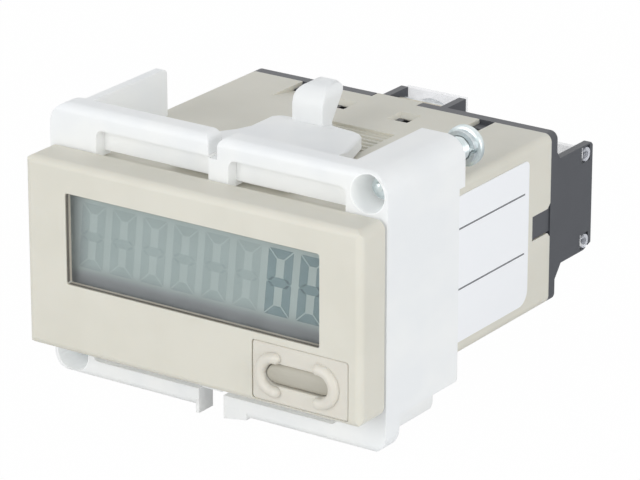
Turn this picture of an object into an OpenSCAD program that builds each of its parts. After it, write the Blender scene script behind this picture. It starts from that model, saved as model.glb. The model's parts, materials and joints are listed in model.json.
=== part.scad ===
// Panel-mount electronic hour meter with a liquid crystal display.
// X runs to the right seen from the front, Y into the panel, Z up.
// The origin is the centre of the bezel's rear face, which seats on the panel.

/* [Bezel] */
// Width of the front bezel
bezel_w = 48; // [47:0.5:52]
// Height of the front bezel
bezel_h = 24; // [23.5:0.5:27]
// Thickness of the bezel, from its front face to the panel
bezel_t = 4.8; // [4.6:0.1:6]
// Radius of the bezel's four corners, seen from the front
bezel_corner_r = 1.2; // [0.4:0.1:1.6]
// Radius that rounds the bezel's front edges
bezel_edge_r = 0.9; // [0.3:0.1:1.2]
// Thickness of the front wall behind the window and the button plate
front_wall = 1.8; // [1.7:0.1:2.2]

/* [Case] */
// Width of the bezel's rim to the left and right of the case
case_rim_w = 1.7; // [1.4:0.05:1.9]
// Height of the case behind the bezel
case_h = 21.9; // [21.7:0.1:22.4]
// Length of the case from the panel face to its open rear end
case_l = 39.1; // [38.5:0.1:44]
// Wall thickness of the case
case_wall = 1.5; // [1.3:0.1:1.6]
// Radius of the case's long edges
case_edge_r = 1.0; // [0.3:0.1:1.2]
// Width of the rails inside the case that carry the main board
rail_w = 1.0; // [0.6:0.1:1.4]
// Height of the rails inside the case
rail_h = 0.8; // [0.5:0.1:1.2]
// Width of the tab at the top rear that locates the base
rear_tab_w = 6.6; // [4:0.1:8]
// Sideways place of the tab at the top rear
rear_tab_x = -0.5; // [-1:0.1:1]

/* [Window] */
// Distance of the display window's two ends from the bezel's sides
window_margin = 5.85; // [5.6:0.05:7]
// Height of the display window
window_h = 11.5; // [10.5:0.1:11.8]
// Sideways place of the window's centre
window_x = 0.1; // [-0.4:0.1:0.4]
// Height of the window's centre above the bezel's centre
window_z = 2.5; // [2.3:0.1:2.6]
// Radius of the window's corners
window_r = 0.3; // [0.2:0.1:0.8]
// Depth of the lens face below the bezel's front face
lens_sink = 0.15; // [0.1:0.05:0.4]
// Gap all round the lens in its opening
lens_gap = 0.06; // [0.04:0.01:0.15]
// Width of the lens flange behind the front wall
lens_flange = 0.6; // [0.4:0.05:0.65]
// Thickness of the lens flange
lens_flange_t = 0.8; // [0.6:0.1:0.8]

/* [Display] */
// Overlap of the liquid crystal panel behind each end of the window
lcd_lap = 1.35; // [0.9:0.05:1.6]
// Height of the liquid crystal panel
lcd_h = 13.2; // [12.8:0.1:13.3]
// Height of the panel's centre above the case's centre
lcd_z = 2.2; // [2:0.1:2.2]
// Thickness of each of the panel's two glass plates
glass_t = 0.9; // [0.7:0.1:1.1]
// Height of the contact ledge above and below the rear glass
contact_ledge = 1.6; // [1.4:0.1:2]
// Length of the contact strips from the glass ledge to the display board
strip_l = 4.3; // [3.8:0.1:4.8]
// Thickness of the contact strips
strip_t = 1.2; // [0.8:0.1:1.3]
// Distance of the contact strips' ends from the ends of the panel
strip_end = 1.5; // [1:0.1:4]
// Gap between the display frame and the case
frame_gap = 0.1; // [0.05:0.05:0.2]
// Play of the display panel and its strips in the display frame
frame_play = 0.1; // [0.05:0.01:0.12]
// Room round the reset button's flange in the display frame
frame_button_room = 0.4; // [0.3:0.1:0.8]

/* [Button] */
// Width of the plate round the reset button
plate_w = 13.5; // [13:0.1:14]
// Height of the plate round the reset button
plate_h = 7.4; // [7:0.1:7.4]
// Distance of the plate from the bezel's right side
plate_margin = 1.7; // [1.65:0.05:2.2]
// Height of the plate's centre
plate_z = -7.8; // [-7.8:0.05:-7.6]
// Thickness of the plate round the reset button
plate_t = 1.2; // [0.9:0.1:1.2]
// Hairline gap between the plate and the bezel
plate_gap = 0.12; // [0.05:0.01:0.2]
// Radius of the plate's corners
plate_r = 0.4; // [0.3:0.1:1]
// Width of the well that the button sits in
well_w = 8.9; // [8.4:0.1:9.2]
// Height of the well that the button sits in
well_h = 2.8; // [2.5:0.1:2.9]
// Distance of the button's centre to the left of the plate's centre
button_offset = 0.35; // [0.15:0.05:0.5]
// Height of the button's centre
button_z = -7.9; // [-7.9:0.1:-7.7]
// Gap all round the button in its well
button_gap = 0.15; // [0.1:0.01:0.2]
// Depth of the button's upper and lower edges below the plate
button_sink = 0.5; // [0.4:0.1:0.8]
// Height of the crown across the button's face
button_crown = 0.4; // [0.2:0.05:0.45]
// Travel of the button when it is pressed
button_travel = 0.3; // [0.2:0.05:0.4]
// Thickness of the flange that keeps the button in
button_flange_t = 0.6; // [0.4:0.1:0.8]
// Overlap of the button's flange behind each end of the well
button_flange_lap = 0.7; // [0.4:0.1:0.9]
// Radius of the button's stem
stem_r = 0.9; // [0.7:0.1:1.1]
// Radius of the round bead that guards the button
guard_r = 0.62; // [0.5:0.02:0.7]
// Height of the guard bead's centre above the plate
guard_rise = 0.2; // [0:0.05:0.4]
// Width of the open stretch between the two arcs of the guard
guard_opening = 4.6; // [3:0.1:5.4]
// Width of the push switch behind the button
push_w = 3.6; // [3:0.1:4]
// Height of the push switch behind the button
push_h = 2.8; // [2.4:0.1:2.8]
// Thickness of the push switch on the display board
push_t = 1.2; // [1:0.1:1.4]
// Radius of the push switch's plunger
plunger_r = 0.8; // [0.6:0.1:1]
// Radial clearance of the plunger in its bore
plunger_clear = 0.05; // [0.03:0.01:0.08]

/* [Boards] */
// Thickness of each circuit board
board_t = 1.2; // [1:0.1:1.6]
// Gap between the boards' edges and the case
board_gap = 0.25; // [0.15:0.05:0.4]
// Height of the main board's underside above the case's centre
main_z = 5.3; // [5.2:0.1:5.6]
// Gap between the input board and the base
input_gap = 1.5; // [1.2:0.1:2]
// Gap between the main board and the display board
main_gap = 1.8; // [1.5:0.1:2.5]
// Width of the controller chip
chip_w = 10; // [7:0.5:12]
// Thickness of the controller chip
chip_t = 1.4; // [1:0.1:1.6]
// Sideways place of the controller chip's centre
chip_x = -7; // [-12:0.5:8]
// Height of the controller chip's centre
chip_z = -2; // [-3:0.5:1]
// Width of the pin headers' bodies
header_w = 16; // [12:1:18]
// Pitch of the header pins
header_pitch = 2; // [1.5:0.25:2.5]
// Length of each header's body
header_l = 2; // [1.5:0.1:2.5]
// Thickness of the header pins
header_pin = 0.5; // [0.4:0.05:0.6]
// Height of each header's body
header_h = 1.8; // [1.4:0.1:2.2]
// Gap between each header's body and the board that its pins reach
header_gap = 0.6; // [0.3:0.1:1]
// Radius of the clock crystal's can
crystal_r = 1.0; // [0.8:0.1:1.2]
// Length of the clock crystal's can
crystal_l = 6; // [5:0.5:8]
// Distance between the rows of small components on the main board
row_pitch = 3.5; // [3:0.1:4.5]
// Number of ceramic capacitors
capacitor_count = 4; // [1:1:6]
// Length of the ceramic capacitors
capacitor_l = 2; // [1.2:0.1:3]
// Width of the ceramic capacitors
capacitor_w = 1.25; // [0.8:0.05:1.6]
// Height of the ceramic capacitors
capacitor_h = 1; // [0.6:0.1:1.4]
// Number of chip resistors
resistor_count = 6; // [1:1:8]
// Length of the chip resistors
resistor_l = 1.6; // [1:0.1:2]
// Width of the chip resistors
resistor_w = 0.8; // [0.5:0.1:1.2]
// Height of the chip resistors
resistor_h = 0.45; // [0.3:0.05:0.6]
// Length of the input coupler
coupler_l = 4; // [3:0.1:6]
// Width of the input coupler
coupler_w = 4.6; // [3:0.1:6]
// Height of the input coupler
coupler_h = 2.0; // [1.6:0.1:2.3]

/* [Battery] */
// Radius of the lithium cell
cell_r = 7.15; // [6.8:0.05:7.2]
// Length of the lithium cell
cell_l = 25; // [20:0.5:30]
// Distance of the cell's axis behind the panel face
cell_y = 24.5; // [22:0.5:26]
// Gap between the lithium cell and the main board
cell_gap = 0.15; // [0.1:0.05:0.4]
// Radius of the raised end of the lithium cell
cell_end_r = 2.9; // [2:0.1:4]
// Height of the raised end of the lithium cell
cell_end_h = 0.6; // [0.4:0.1:1]
// Thickness of the welded battery tabs
cell_tab_t = 0.2; // [0.15:0.05:0.3]
// Width of the welded battery tabs
cell_tab_w = 3; // [2:0.5:4]

/* [Slide switches] */
// Sideways place of the key-protect switch
protect_x = -5.3; // [-6:0.1:-4.6]
// Sideways place of the range switch
range_x = 4.0; // [3.6:0.1:5]
// Distance of both slide switches behind the panel face
slide_y = 34.5; // [33:0.1:34.6]
// Width of each switch window at the top of the case
slide_window = 3.0; // [2.8:0.1:3.4]
// Length of each switch window at the top of the case
slide_window_l = 3.3; // [3:0.1:3.6]
// Thickness of the case's wall at the switch windows
slide_skin = 0.7; // [0.6:0.05:0.9]
// Width of each switch window at its floor
slide_floor_w = 2.2; // [2.1:0.1:2.4]
// Length of each switch window at its floor
slide_floor_l = 1.8; // [1.5:0.1:2]
// Width of a slide switch's body
slide_body_w = 5; // [4.4:0.1:5.6]
// Length of a slide switch's body
slide_body_l = 2.8; // [2.4:0.1:3]
// Gap between a slide switch and the wall over it
slide_top_gap = 0.15; // [0.1:0.05:0.3]
// Width of a slide switch's knob
knob_w = 0.9; // [0.7:0.1:0.9]
// Travel of a slide switch's knob
knob_travel = 1.1; // [0.8:0.1:1.1]
// Height of a knob's tip above its switch
knob_rise = 0.4; // [0.3:0.1:0.7]
// Depth of a knob's foot in the switch body
knob_foot = 1.4; // [1:0.1:1.6]
// Gap between a knob and its slot
knob_gap = 0.08; // [0.05:0.01:0.1]

/* [Ratchet] */
// Half the width of the ratchet tracks on the top and bottom
ratchet_half_w = 6.8; // [6.5:0.1:8]
// Start of the ratchet tracks behind the panel face
ratchet_y0 = 13.5; // [12:0.1:15]
// Pitch of the ratchet teeth
tooth_pitch = 1.1; // [0.9:0.05:1.3]
// Number of ratchet teeth on each track
tooth_count = 13; // [12:1:13]
// Depth of the tooth tips below the case's surface
ratchet_sink = 0.35; // [0.3:0.05:0.4]
// Depth of the ratchet teeth
tooth_h = 0.5; // [0.3:0.05:0.55]
// Length of the flat land on each tooth
tooth_land = 0.4; // [0.2:0.05:0.5]

/* [Base] */
// Thickness of the base plate that closes the case
base_t = 1.4; // [1.2:0.1:1.8]
// Depth of the terminal block behind the base plate
block_l = 9.5; // [9.2:0.1:10.5]
// Distance of the terminal block's sides in from the case's sides
block_inset = 0.6; // [0.4:0.05:1]
// Height of the terminal block's side walls
block_h = 13.8; // [13:0.1:14.4]
// Width of the raised middle part of the terminal block
middle_w = 9.6; // [9.4:0.1:10]
// Height of the raised middle part of the terminal block
middle_h = 19.8; // [19.2:0.1:20.6]
// Thickness of the barriers between the terminals
barrier_t = 1.0; // [0.8:0.1:1.1]
// Height of the lower gussets where the side walls meet the base plate
gusset = 3.0; // [1.5:0.1:3.5]
// Height of the upper gussets where the side walls meet the base plate
gusset_top = 2.3; // [1:0.1:3]
// Width of the side latches
latch_h = 2.9; // [2.4:0.1:3.4]
// Length of the side latches
latch_l = 4.0; // [3:0.1:4.6]
// Flare at the mouth of the latch notches
latch_flare = 0.6; // [0.3:0.1:0.9]
// Sideways place of the top and bottom hooks
hook_x = 13.1; // [12:0.1:14.5]
// Width of the top and bottom hooks
hook_w = 2.0; // [1.4:0.1:2.4]
// Length of the top and bottom hooks
hook_l = 1.9; // [1.5:0.1:2.4]
// Length of the shallow ramp in front of each hook
hook_ramp_l = 4.8; // [3:0.1:5.4]
// Depth of the shallow ramp in front of each hook
hook_ramp_h = 0.7; // [0.4:0.1:0.9]
// Gap round the latches and hooks in the case
latch_gap = 0.12; // [0.08:0.01:0.2]

/* [Terminals] */
// Radius of the terminal screws' thread
screw_r = 1.75; // [1.5:0.05:1.8]
// Radius of the terminal screws' heads
screw_head_r = 3.1; // [2.8:0.1:3.2]
// Height of the terminal screws' heads
screw_head_h = 1.6; // [1.3:0.1:1.7]
// Width of the slot across the screw heads
screw_slot_w = 0.8; // [0.6:0.1:1]
// Depth of the slot across the screw heads
screw_slot_h = 0.8; // [0.5:0.1:0.9]
// Gap between the screw heads and the terminal cover
head_gap = 0.3; // [0.2:0.05:0.5]
// Distance of the clamp washers' edges in from the terminal plates'
washer_inset = 0.1; // [0.05:0.05:0.25]
// Thickness of the clamp washers
washer_t = 0.7; // [0.5:0.1:0.8]
// Gap between the square terminal plates and the barriers beside them
terminal_gap = 0.375; // [0.275:0.025:0.6]
// Thickness of the threaded terminal plates
terminal_t = 1.0; // [0.8:0.1:1.2]
// Width of the pins from the terminal plates to the input board
terminal_pin_w = 1.2; // [0.8:0.1:1.6]
// Thickness of the pins from the terminal plates to the input board
terminal_pin_t = 0.6; // [0.4:0.1:0.8]
// Height of the two middle terminals above and below the centre
middle_z = 6.0; // [5.6:0.1:6.2]
// Length of the terminal screws under their heads
screw_l = 5.4; // [5:0.1:5.6]
// Gap between the screws and the holes in the base
screw_gap = 0.15; // [0.1:0.05:0.25]

/* [Terminal cover] */
// Thickness of the see-through terminal cover
cover_t = 0.8; // [0.7:0.1:1]
// Distance of the cover's rear face in from the block's rear end
cover_sink = 1.7; // [1.6:0.1:2]
// Height of the cover at the sides
cover_h = 13.1; // [12.4:0.1:13.3]
// Height of the cover in the middle
cover_middle_h = 19.6; // [19:0.1:19.7]
// Radius of the screwdriver holes in the cover
cover_hole_r = 2.4; // [2:0.1:2.8]
// Outer radius of the cover's clips
clip_r = 0.9; // [0.8:0.1:1]
// Thickness of the cover's clips
clip_t = 0.45; // [0.4:0.05:0.55]
// Distance of the clips from the cover's middle height
clip_z = 5.7; // [5.5:0.1:5.8]
// Gap round the cover in the terminal block
cover_gap = 0.1; // [0.05:0.05:0.15]

/* [Side label] */
// Length of the side label
label_l = 28; // [20:0.5:30]
// Height of the side label
label_h = 18.4; // [16:0.1:19.6]
// Thickness of the side label
label_t = 0.1; // [0.08:0.01:0.12]
// Distance of the label's rear edge behind the panel face
label_y1 = 33.9; // [33:0.1:34.5]
// Radius of the label's small corners
label_r = 0.8; // [0.3:0.1:1.2]
// Radius of the label's large lower rear corner
label_big_r = 1.9; // [1:0.1:2.5]

/* [Adapter] */
// Thickness of the adapter's side walls
adapter_wall = 1.5; // [1.2:0.05:1.8]
// Height of the mounting adapter's front frame
adapter_h = 34.5; // [34:0.1:35.5]
// Gap between the bezel and the adapter's front frame
adapter_y0 = 0.35; // [0.3:0.05:0.5]
// Thickness of the adapter's front frame
adapter_front_t = 2.85; // [2.4:0.05:3.2]
// Gap between the adapter and the sides of the case
adapter_gap = 0.25; // [0.2:0.01:0.3]
// Radius of the adapter's outer corners
adapter_r = 2.7; // [2.3:0.1:2.8]
// Radius that rounds the front frame's outer edge
adapter_edge_r = 1.2; // [0.6:0.1:1.5]
// Distance of the side walls' rear edge behind the panel face
adapter_side_y1 = 15.6; // [14:0.1:17]
// Height of the side walls above and below the centre
adapter_side_h = 12.8; // [12.6:0.1:13.4]
// Distance of the screw bosses' rear face behind the panel face
boss_y1 = 16.8; // [16.2:0.1:18]
// Distance of the screw bosses' inner sides from the screws' axes
boss_inner = 3.35; // [3:0.05:4.2]
// Distance of the fins' inner sides from the adapter's sides
fin_inset = 4.35; // [3.9:0.05:4.7]
// Thickness of the fins opposite the bosses
fin_t = 1.2; // [1:0.1:1.6]
// Distance of the fins' rear edge behind the panel face
fin_y1 = 18.0; // [16.5:0.1:19]
// Distance of the lower fin's rear edge behind the panel face
fin_low_y1 = 15.2; // [14:0.1:18]
// Distance of the lower fin's edge in from the frame's edge
fin_low_step = 0.5; // [0.1:0.1:1]
// Width of the slot in the top of the front frame
slot_w = 1.3; // [1:0.1:1.8]
// Sideways place of the slot in the top of the front frame
slot_x = -0.25; // [-0.5:0.05:0.4]
// Depth of the slot in the top of the front frame
slot_l = 2.7; // [2:0.1:3.2]
// Radius of the bars' corners at the slot's mouth
slot_r = 1.2; // [0.6:0.1:1.4]
// Width of the gap in the bottom of the front frame
gap_w = 3.6; // [3:0.1:4]
// Sideways place of the gap in the bottom of the front frame
gap_x = -0.75; // [-1.2:0.05:-0.3]
// Depth of the gap in the bottom of the front frame
gap_l = 2.8; // [2:0.1:3.2]
// Thickness of the rib at the left of the gap
rib_t = 0.45; // [0.4:0.05:1]
// Distance that the rib hangs below the front frame
rib_rise = 0.7; // [0.3:0.1:1.2]
// Length of the tapered lug at the right of the gap
lug_l = 3.3; // [2:0.1:4]
// Distance that the lug hangs below the front frame
lug_rise = 0.5; // [0.3:0.1:1]
// Sideways place of the foot between the two reliefs
relief_x = 0.55; // [0.2:0.05:0.8]
// Half the width of the foot between the two reliefs
foot_half_w = 1.4; // [1.1:0.1:2]
// Distance of the reliefs' ends from the clamp screws' axes
relief_inset = 3.0; // [2.9:0.1:4.5]
// Height that the reliefs add to the adapter's opening
relief_rise = 0.7; // [0.3:0.1:0.9]
// Height of the reliefs in the frame's front face
relief_h = 2.9; // [2:0.1:3.1]
// Depth of the reliefs behind the frame's front face
relief_t = 1.65; // [1:0.05:2]

/* [Tongues] */
// Distance of the upper tongue's left edge from the centre
tongue_half_w = 6.5; // [6.2:0.1:7]
// Distance of the upper tongue's right edge from the centre, at its large corner
tongue_wide = 7.3; // [6.9:0.1:7.8]
// Half the width of the tongues at their roots
tongue_root_half_w = 8.5; // [8:0.1:9.5]
// Length of the flared root behind the front frame
tongue_root_l = 13.6; // [11:0.1:14.5]
// Thickness of the tongues
tongue_t = 1.6; // [1.2:0.1:1.8]
// Distance of the tongues' rear edge behind the panel face
tongue_y1 = 23.4; // [22.8:0.1:23.6]
// Radius of the upper tongue's left rear corner
tongue_r = 1.3; // [0.8:0.1:1.6]
// Radius of the upper tongue's right rear corner
tongue_big_r = 3.2; // [1.5:0.1:3.3]
// Length of the slope at the tongues' rear edge
tongue_slope_l = 2.2; // [1.2:0.1:2.6]
// Drop of the slope at the tongues' rear edge
tongue_slope_h = 0.5; // [0.2:0.1:0.8]
// Half the width of the pawls under the tongues
pawl_half_w = 5.6; // [5:0.1:6]
// Length of the pawls under the tongues
pawl_l = 1.6; // [1:0.1:2]
// Gap between the pawls and the ratchet teeth
pawl_gap = 0.12; // [0.1:0.01:0.15]
// Left side of the finger tab on the upper tongue
tab_x0 = -3.5; // [-4:0.1:-3]
// Right side of the finger tab on the upper tongue
tab_x1 = 0.9; // [0.5:0.1:1.5]
// Front of the finger tabs behind the panel face
tab_y0 = 21.3; // [20.5:0.1:21.6]
// Height of the finger tabs above the tongues
tab_h = 4.4; // [3:0.1:5]
// Lean of the finger tabs' rear face, in distance per height
tab_lean = 0.7; // [0.3:0.05:0.8]
// Radius that rounds the front of the finger tabs
tab_front_r = 2.7; // [1.5:0.1:2.8]
// Radius of the finger tabs' upper corners
tab_side_r = 1.4; // [0.6:0.1:1.6]

/* [Clamp screws] */
// Distance of the clamp screws' axes from the adapter's two nearest sides
clamp_inset = 2.7; // [2.6:0.05:2.9]
// Radius of the clamp screws' thread
clamp_r = 1.5; // [1.3:0.05:1.6]
// Radial clearance of the clamp screws in their threaded holes
clamp_clear = 0.05; // [0.03:0.01:0.08]
// Radius of the open hole in front of each threaded hole
clamp_front_r = 2.3; // [2.1:0.05:2.35]
// Length of thread in each boss
clamp_thread_l = 5.6; // [4:0.1:7]
// Distance of the clamp screws' tips behind the panel face
clamp_tip_y = 2.6; // [2:0.1:3]
// Distance of the clamp screws' heads behind the panel face
clamp_head_y = 20.5; // [20.2:0.1:23]
// Radius of the clamp screws' heads
clamp_head_r = 2.5; // [2.3:0.1:2.6]
// Height of the clamp screws' heads
clamp_head_h = 2.1; // [1.6:0.1:2.4]
// Radius of the point at the clamp screws' tips
clamp_point_r = 0.6; // [0.5:0.1:1.1]
// Length of the point at the clamp screws' tips
clamp_point_l = 0.8; // [0.5:0.1:1.2]
// Radius of the spring washers under the clamp screws' heads
spring_r = 2.1; // [2:0.05:2.25]
// Thickness of the spring washers under the clamp screws' heads
spring_t = 0.8; // [0.6:0.1:1]
// Width of the split in the spring washers
spring_split = 0.5; // [0.3:0.1:0.8]

/* [Hidden] */
$fn = 64;
eps = 0.01;

// Faces of the bezel and the case
front_y = -bezel_t;
wall_y = front_y + front_wall;
case_w = bezel_w - 2 * case_rim_w;
case_top = case_h / 2;
case_side = case_w / 2;
inner_w = case_w - 2 * case_wall;
inner_h = case_h - 2 * case_wall;
inner_top = inner_h / 2;
inner_side = inner_w / 2;

// Display stack, from the front wall back to the display board
window_w = bezel_w - 2 * window_margin;
lcd_w = window_w + 2 * lcd_lap;
strip_w = lcd_w - 2 * strip_end;
flange_w = window_w + 2 * lens_flange;
flange_h = window_h + 2 * lens_flange;
ledge_y = wall_y + glass_t;
board_y = ledge_y + strip_l;
strip_z = lcd_h / 2 - contact_ledge / 2;

// Button stack, from the plate back to the push switch
plate_x = bezel_w / 2 - plate_margin - plate_w / 2;
button_x = plate_x - button_offset;
button_y = front_y + button_sink;
button_w = well_w - 2 * button_gap;
button_h = well_h - 2 * button_gap;
push_y = board_y - push_t;
plunger_out = button_travel + 0.1;
plunger_in = 0.5;

// Boards
main_y0 = board_y + board_t + main_gap;
main_top = main_z + board_t;
input_y = case_l - input_gap - board_t;
crystal_y = main_y0 + header_l + row_pitch;
capacitor_y = crystal_y;
resistor_y = capacitor_y + row_pitch;
coupler_y = input_y - header_gap - header_l - row_pitch - coupler_l;
cell_z = main_z - cell_gap - cell_r;
main_side = inner_side - board_gap;
skin_z = case_top - slide_skin;
slide_top = skin_z - slide_top_gap;

// Base and terminals
base_y = case_l + base_t;
block_y = base_y + block_l;
block_side = case_side - block_inset;
cover_y = block_y - cover_sink - cover_t;
head_y = cover_y - head_gap - screw_head_h;
washer_y = head_y - washer_t;
terminal_y = washer_y - terminal_t;
chamber_w = (block_side - middle_w / 2 - 2 * barrier_t) / 2;
terminal_w = min(chamber_w, middle_w - 2 * barrier_t) - 2 * terminal_gap;
washer_w = terminal_w - 2 * washer_inset;
inner_x = middle_w / 2 + chamber_w / 2;
outer_x = inner_x + chamber_w + barrier_t;
TERMINALS = [
    [-outer_x, 0], [-inner_x, 0], [0, middle_z], [0, -middle_z], [inner_x, 0], [outer_x, 0]
];
clip_y = cover_y + cover_t / 2 + 0.4;

// Adapter
adapter_y1 = adapter_y0 + adapter_front_t;
opening_side = case_side + adapter_gap;
opening_top = case_top + adapter_gap;
adapter_side = opening_side + adapter_wall;
adapter_top = adapter_h / 2;
clamp_x = adapter_side - clamp_inset;
boss_x0 = clamp_x - boss_inner;
fin_x0 = adapter_side - fin_inset;
relief_half_w = clamp_x - relief_x - relief_inset;
clamp_z = adapter_top - clamp_inset;
tongue_z0 = opening_top + 0.1;
tongue_z1 = tongue_z0 + tongue_t;
ratchet_y1 = ratchet_y0 + tooth_count * tooth_pitch + 0.5;
crest_z = case_top - ratchet_sink;

// Extrudes a shape drawn in X and Z from y0 to y1
module slab_xz(y0, y1) {
    rotate([90, 0, 0])
        translate([0, 0, -y1])
            linear_extrude(y1 - y0) children();
}

// Extrudes a shape drawn in Y and Z from x0 to x1
module slab_yz(x0, x1) {
    rotate([90, 0, 90])
        translate([0, 0, x0])
            linear_extrude(x1 - x0) children();
}

// Extrudes a shape drawn in X and Y from z0 to z1
module slab_xy(z0, z1) {
    translate([0, 0, z0])
        linear_extrude(z1 - z0) children();
}

// A box from its lowest to its highest corner
module span(x0, x1, y0, y1, z0, z1) {
    translate([x0, y0, z0])
        cube([x1 - x0, y1 - y0, z1 - z0]);
}

// A rod along Y
module rod_y(r, y0, y1, x = 0, z = 0) {
    translate([x, y0, z])
        rotate([-90, 0, 0])
            cylinder(r = r, h = y1 - y0);
}

// A centred rectangle with round corners, made of true arcs
module round_rect(w, h, r) {
    square([w - 2 * r, h], center = true);
    square([w, h - 2 * r], center = true);
    for (sx = [-1, 1], sy = [-1, 1])
        translate([sx * (w / 2 - r), sy * (h / 2 - r)])
            circle(r);
}

// A slot shape with round ends, lying along X
module stadium(w, h) {
    square([w - h, h], center = true);
    for (s = [-1, 1])
        translate([s * (w - h) / 2, 0])
            circle(h / 2);
}

// A profile from 0 to t whose two corners at 0 are rounded
module front_rounded(t, w, r) {
    translate([r, -w / 2])
        square([t - r, w]);
    translate([0, -w / 2 + r])
        square([r + eps, w - 2 * r]);
    for (s = [-1, 1])
        translate([r, s * (w / 2 - r)])
            circle(r);
}

// Repeats its children as they are and turned half round about the Y axis
module half_turn() {
    children();
    rotate([0, 180, 0]) children();
}

// Repeats its children on the right and the left
module both_sides() {
    children();
    mirror([1, 0, 0]) children();
}

// Repeats its children at the top and the bottom
module top_and_bottom() {
    children();
    mirror([0, 0, 1]) children();
}

// The bezel's outside, rounded at its corners and front edges
module bezel_body() {
    intersection() {
        slab_xz(front_y, 0)
            round_rect(bezel_w, bezel_h, bezel_corner_r);
        slab_yz(-bezel_w, bezel_w)
            translate([front_y, 0])
                front_rounded(bezel_t, bezel_h, bezel_edge_r);
        slab_xy(-bezel_h, bezel_h)
            rotate(90)
                translate([front_y, 0])
                    front_rounded(bezel_t, bezel_w, bezel_edge_r);
    }
}

// The track cut in the top of the case, with saw teeth along Y on its floor
module ratchet_cut() {
    slope = tooth_pitch * 0.8;
    root_z = crest_z - tooth_h;
    step = [[0, crest_z], [tooth_land, crest_z], [slope, root_z]];
    teeth = [
        for (i = [0 : tooth_count - 1], p = step)
            [ratchet_y0 + i * tooth_pitch + p[0], p[1]]
    ];
    end_y = ratchet_y0 + tooth_count * tooth_pitch;
    slab_yz(-ratchet_half_w, ratchet_half_w)
        polygon(concat(
            [[ratchet_y0, case_top + 1]],
            teeth,
            [[end_y, crest_z], [ratchet_y1, crest_z], [ratchet_y1, case_top + 1]]
        ));
}

// One side view of a switch window: a short straight hole under a funnel
module funnel(middle, floor_w, top_w) {
    z0 = skin_z - eps;
    z1 = skin_z + 0.15;
    z2 = case_top + eps;
    polygon([
        [middle - floor_w / 2, z0], [middle + floor_w / 2, z0],
        [middle + floor_w / 2, z1], [middle + top_w / 2, z2],
        [middle - top_w / 2, z2], [middle - floor_w / 2, z1]
    ]);
}

// The window over one slide switch, and the pocket that its body reaches into
module slide_window_cut(x) {
    half_w = slide_body_w / 2 + 0.2;
    half_l = slide_body_l / 2 + 0.2;
    intersection() {
        slab_xz(slide_y - slide_window_l, slide_y + slide_window_l)
            funnel(x, slide_floor_w, slide_window);
        slab_yz(x - slide_window, x + slide_window)
            funnel(slide_y, slide_floor_l, slide_window_l);
    }
    span(
        x - half_w, x + half_w, slide_y - half_l, slide_y + half_l,
        inner_top - 1, skin_z
    );
}

// The notch and ramp in the top of the case for one hook of the base
module hook_cut() {
    half = hook_w / 2 + latch_gap;
    notch_y = case_l - hook_l - latch_gap;
    span(hook_x - half, hook_x + half, notch_y, case_l + 1, inner_top - 1, case_top + 1);
    slab_yz(hook_x - half, hook_x + half)
        polygon([
            [notch_y - hook_ramp_l, case_top], [notch_y + eps, case_top - hook_ramp_h],
            [notch_y + eps, case_top + 1], [notch_y - hook_ramp_l, case_top + 1]
        ]);
}

// The notch in the side of the case for one latch of the base
module latch_cut() {
    half = latch_h / 2 + latch_gap;
    y0 = case_l - latch_l - latch_gap;
    slab_yz(inner_side - 1, case_side + 1)
        polygon([
            [y0, -half], [case_l - latch_flare, -half], [case_l + eps, -half - latch_flare],
            [case_l + eps, half + latch_flare], [case_l - latch_flare, half], [y0, half]
        ]);
}

module housing() {
    color("#d8d5c7") {
        difference() {
            union() {
                bezel_body();
                slab_xz(-eps, case_l)
                    round_rect(case_w, case_h, case_edge_r);
                span(
                    rear_tab_x - rear_tab_w / 2, rear_tab_x + rear_tab_w / 2,
                    case_l - 1, base_y, inner_top, case_top
                );
            }
            difference() {
                span(
                    -inner_side, inner_side, wall_y, case_l + 2 * base_t,
                    -inner_top, inner_top
                );
                both_sides()
                    span(
                        inner_side - rail_w, inner_side + 1, main_y0 + 2, input_y - 2,
                        main_z - rail_h, main_z
                    );
            }
            translate([window_x, 0, window_z]) {
                slab_xz(front_y - 1, wall_y + 1)
                    round_rect(window_w, window_h, window_r);
                slab_xz(wall_y - lens_flange_t, wall_y + 1)
                    square([flange_w + 2 * lens_gap, flange_h + 2 * lens_gap], center = true);
            }
            translate([plate_x, 0, plate_z])
                slab_xz(front_y - 1, front_y + plate_t)
                    round_rect(plate_w, plate_h, plate_r);
            translate([button_x, 0, button_z])
                slab_xz(front_y - 1, wall_y + 1)
                    stadium(well_w, well_h);
            top_and_bottom() {
                ratchet_cut();
                both_sides() hook_cut();
            }
            slide_window_cut(protect_x);
            slide_window_cut(range_x);
            both_sides() latch_cut();
        }
    }
}

module window_lens() {
    color("#b9c2c4", 0.4)
        translate([window_x, 0, window_z]) {
            slab_xz(front_y + lens_sink, wall_y)
                round_rect(window_w - 2 * lens_gap, window_h - 2 * lens_gap, window_r);
            slab_xz(wall_y - lens_flange_t + lens_gap, wall_y)
                square([flange_w, flange_h], center = true);
        }
}

module lcd_panel() {
    color("#a3aeaa")
        translate([window_x, 0, lcd_z]) {
            slab_xz(wall_y, ledge_y)
                square([lcd_w, lcd_h], center = true);
            slab_xz(ledge_y - eps, ledge_y + glass_t)
                square([lcd_w, lcd_h - 2 * contact_ledge], center = true);
        }
}

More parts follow.
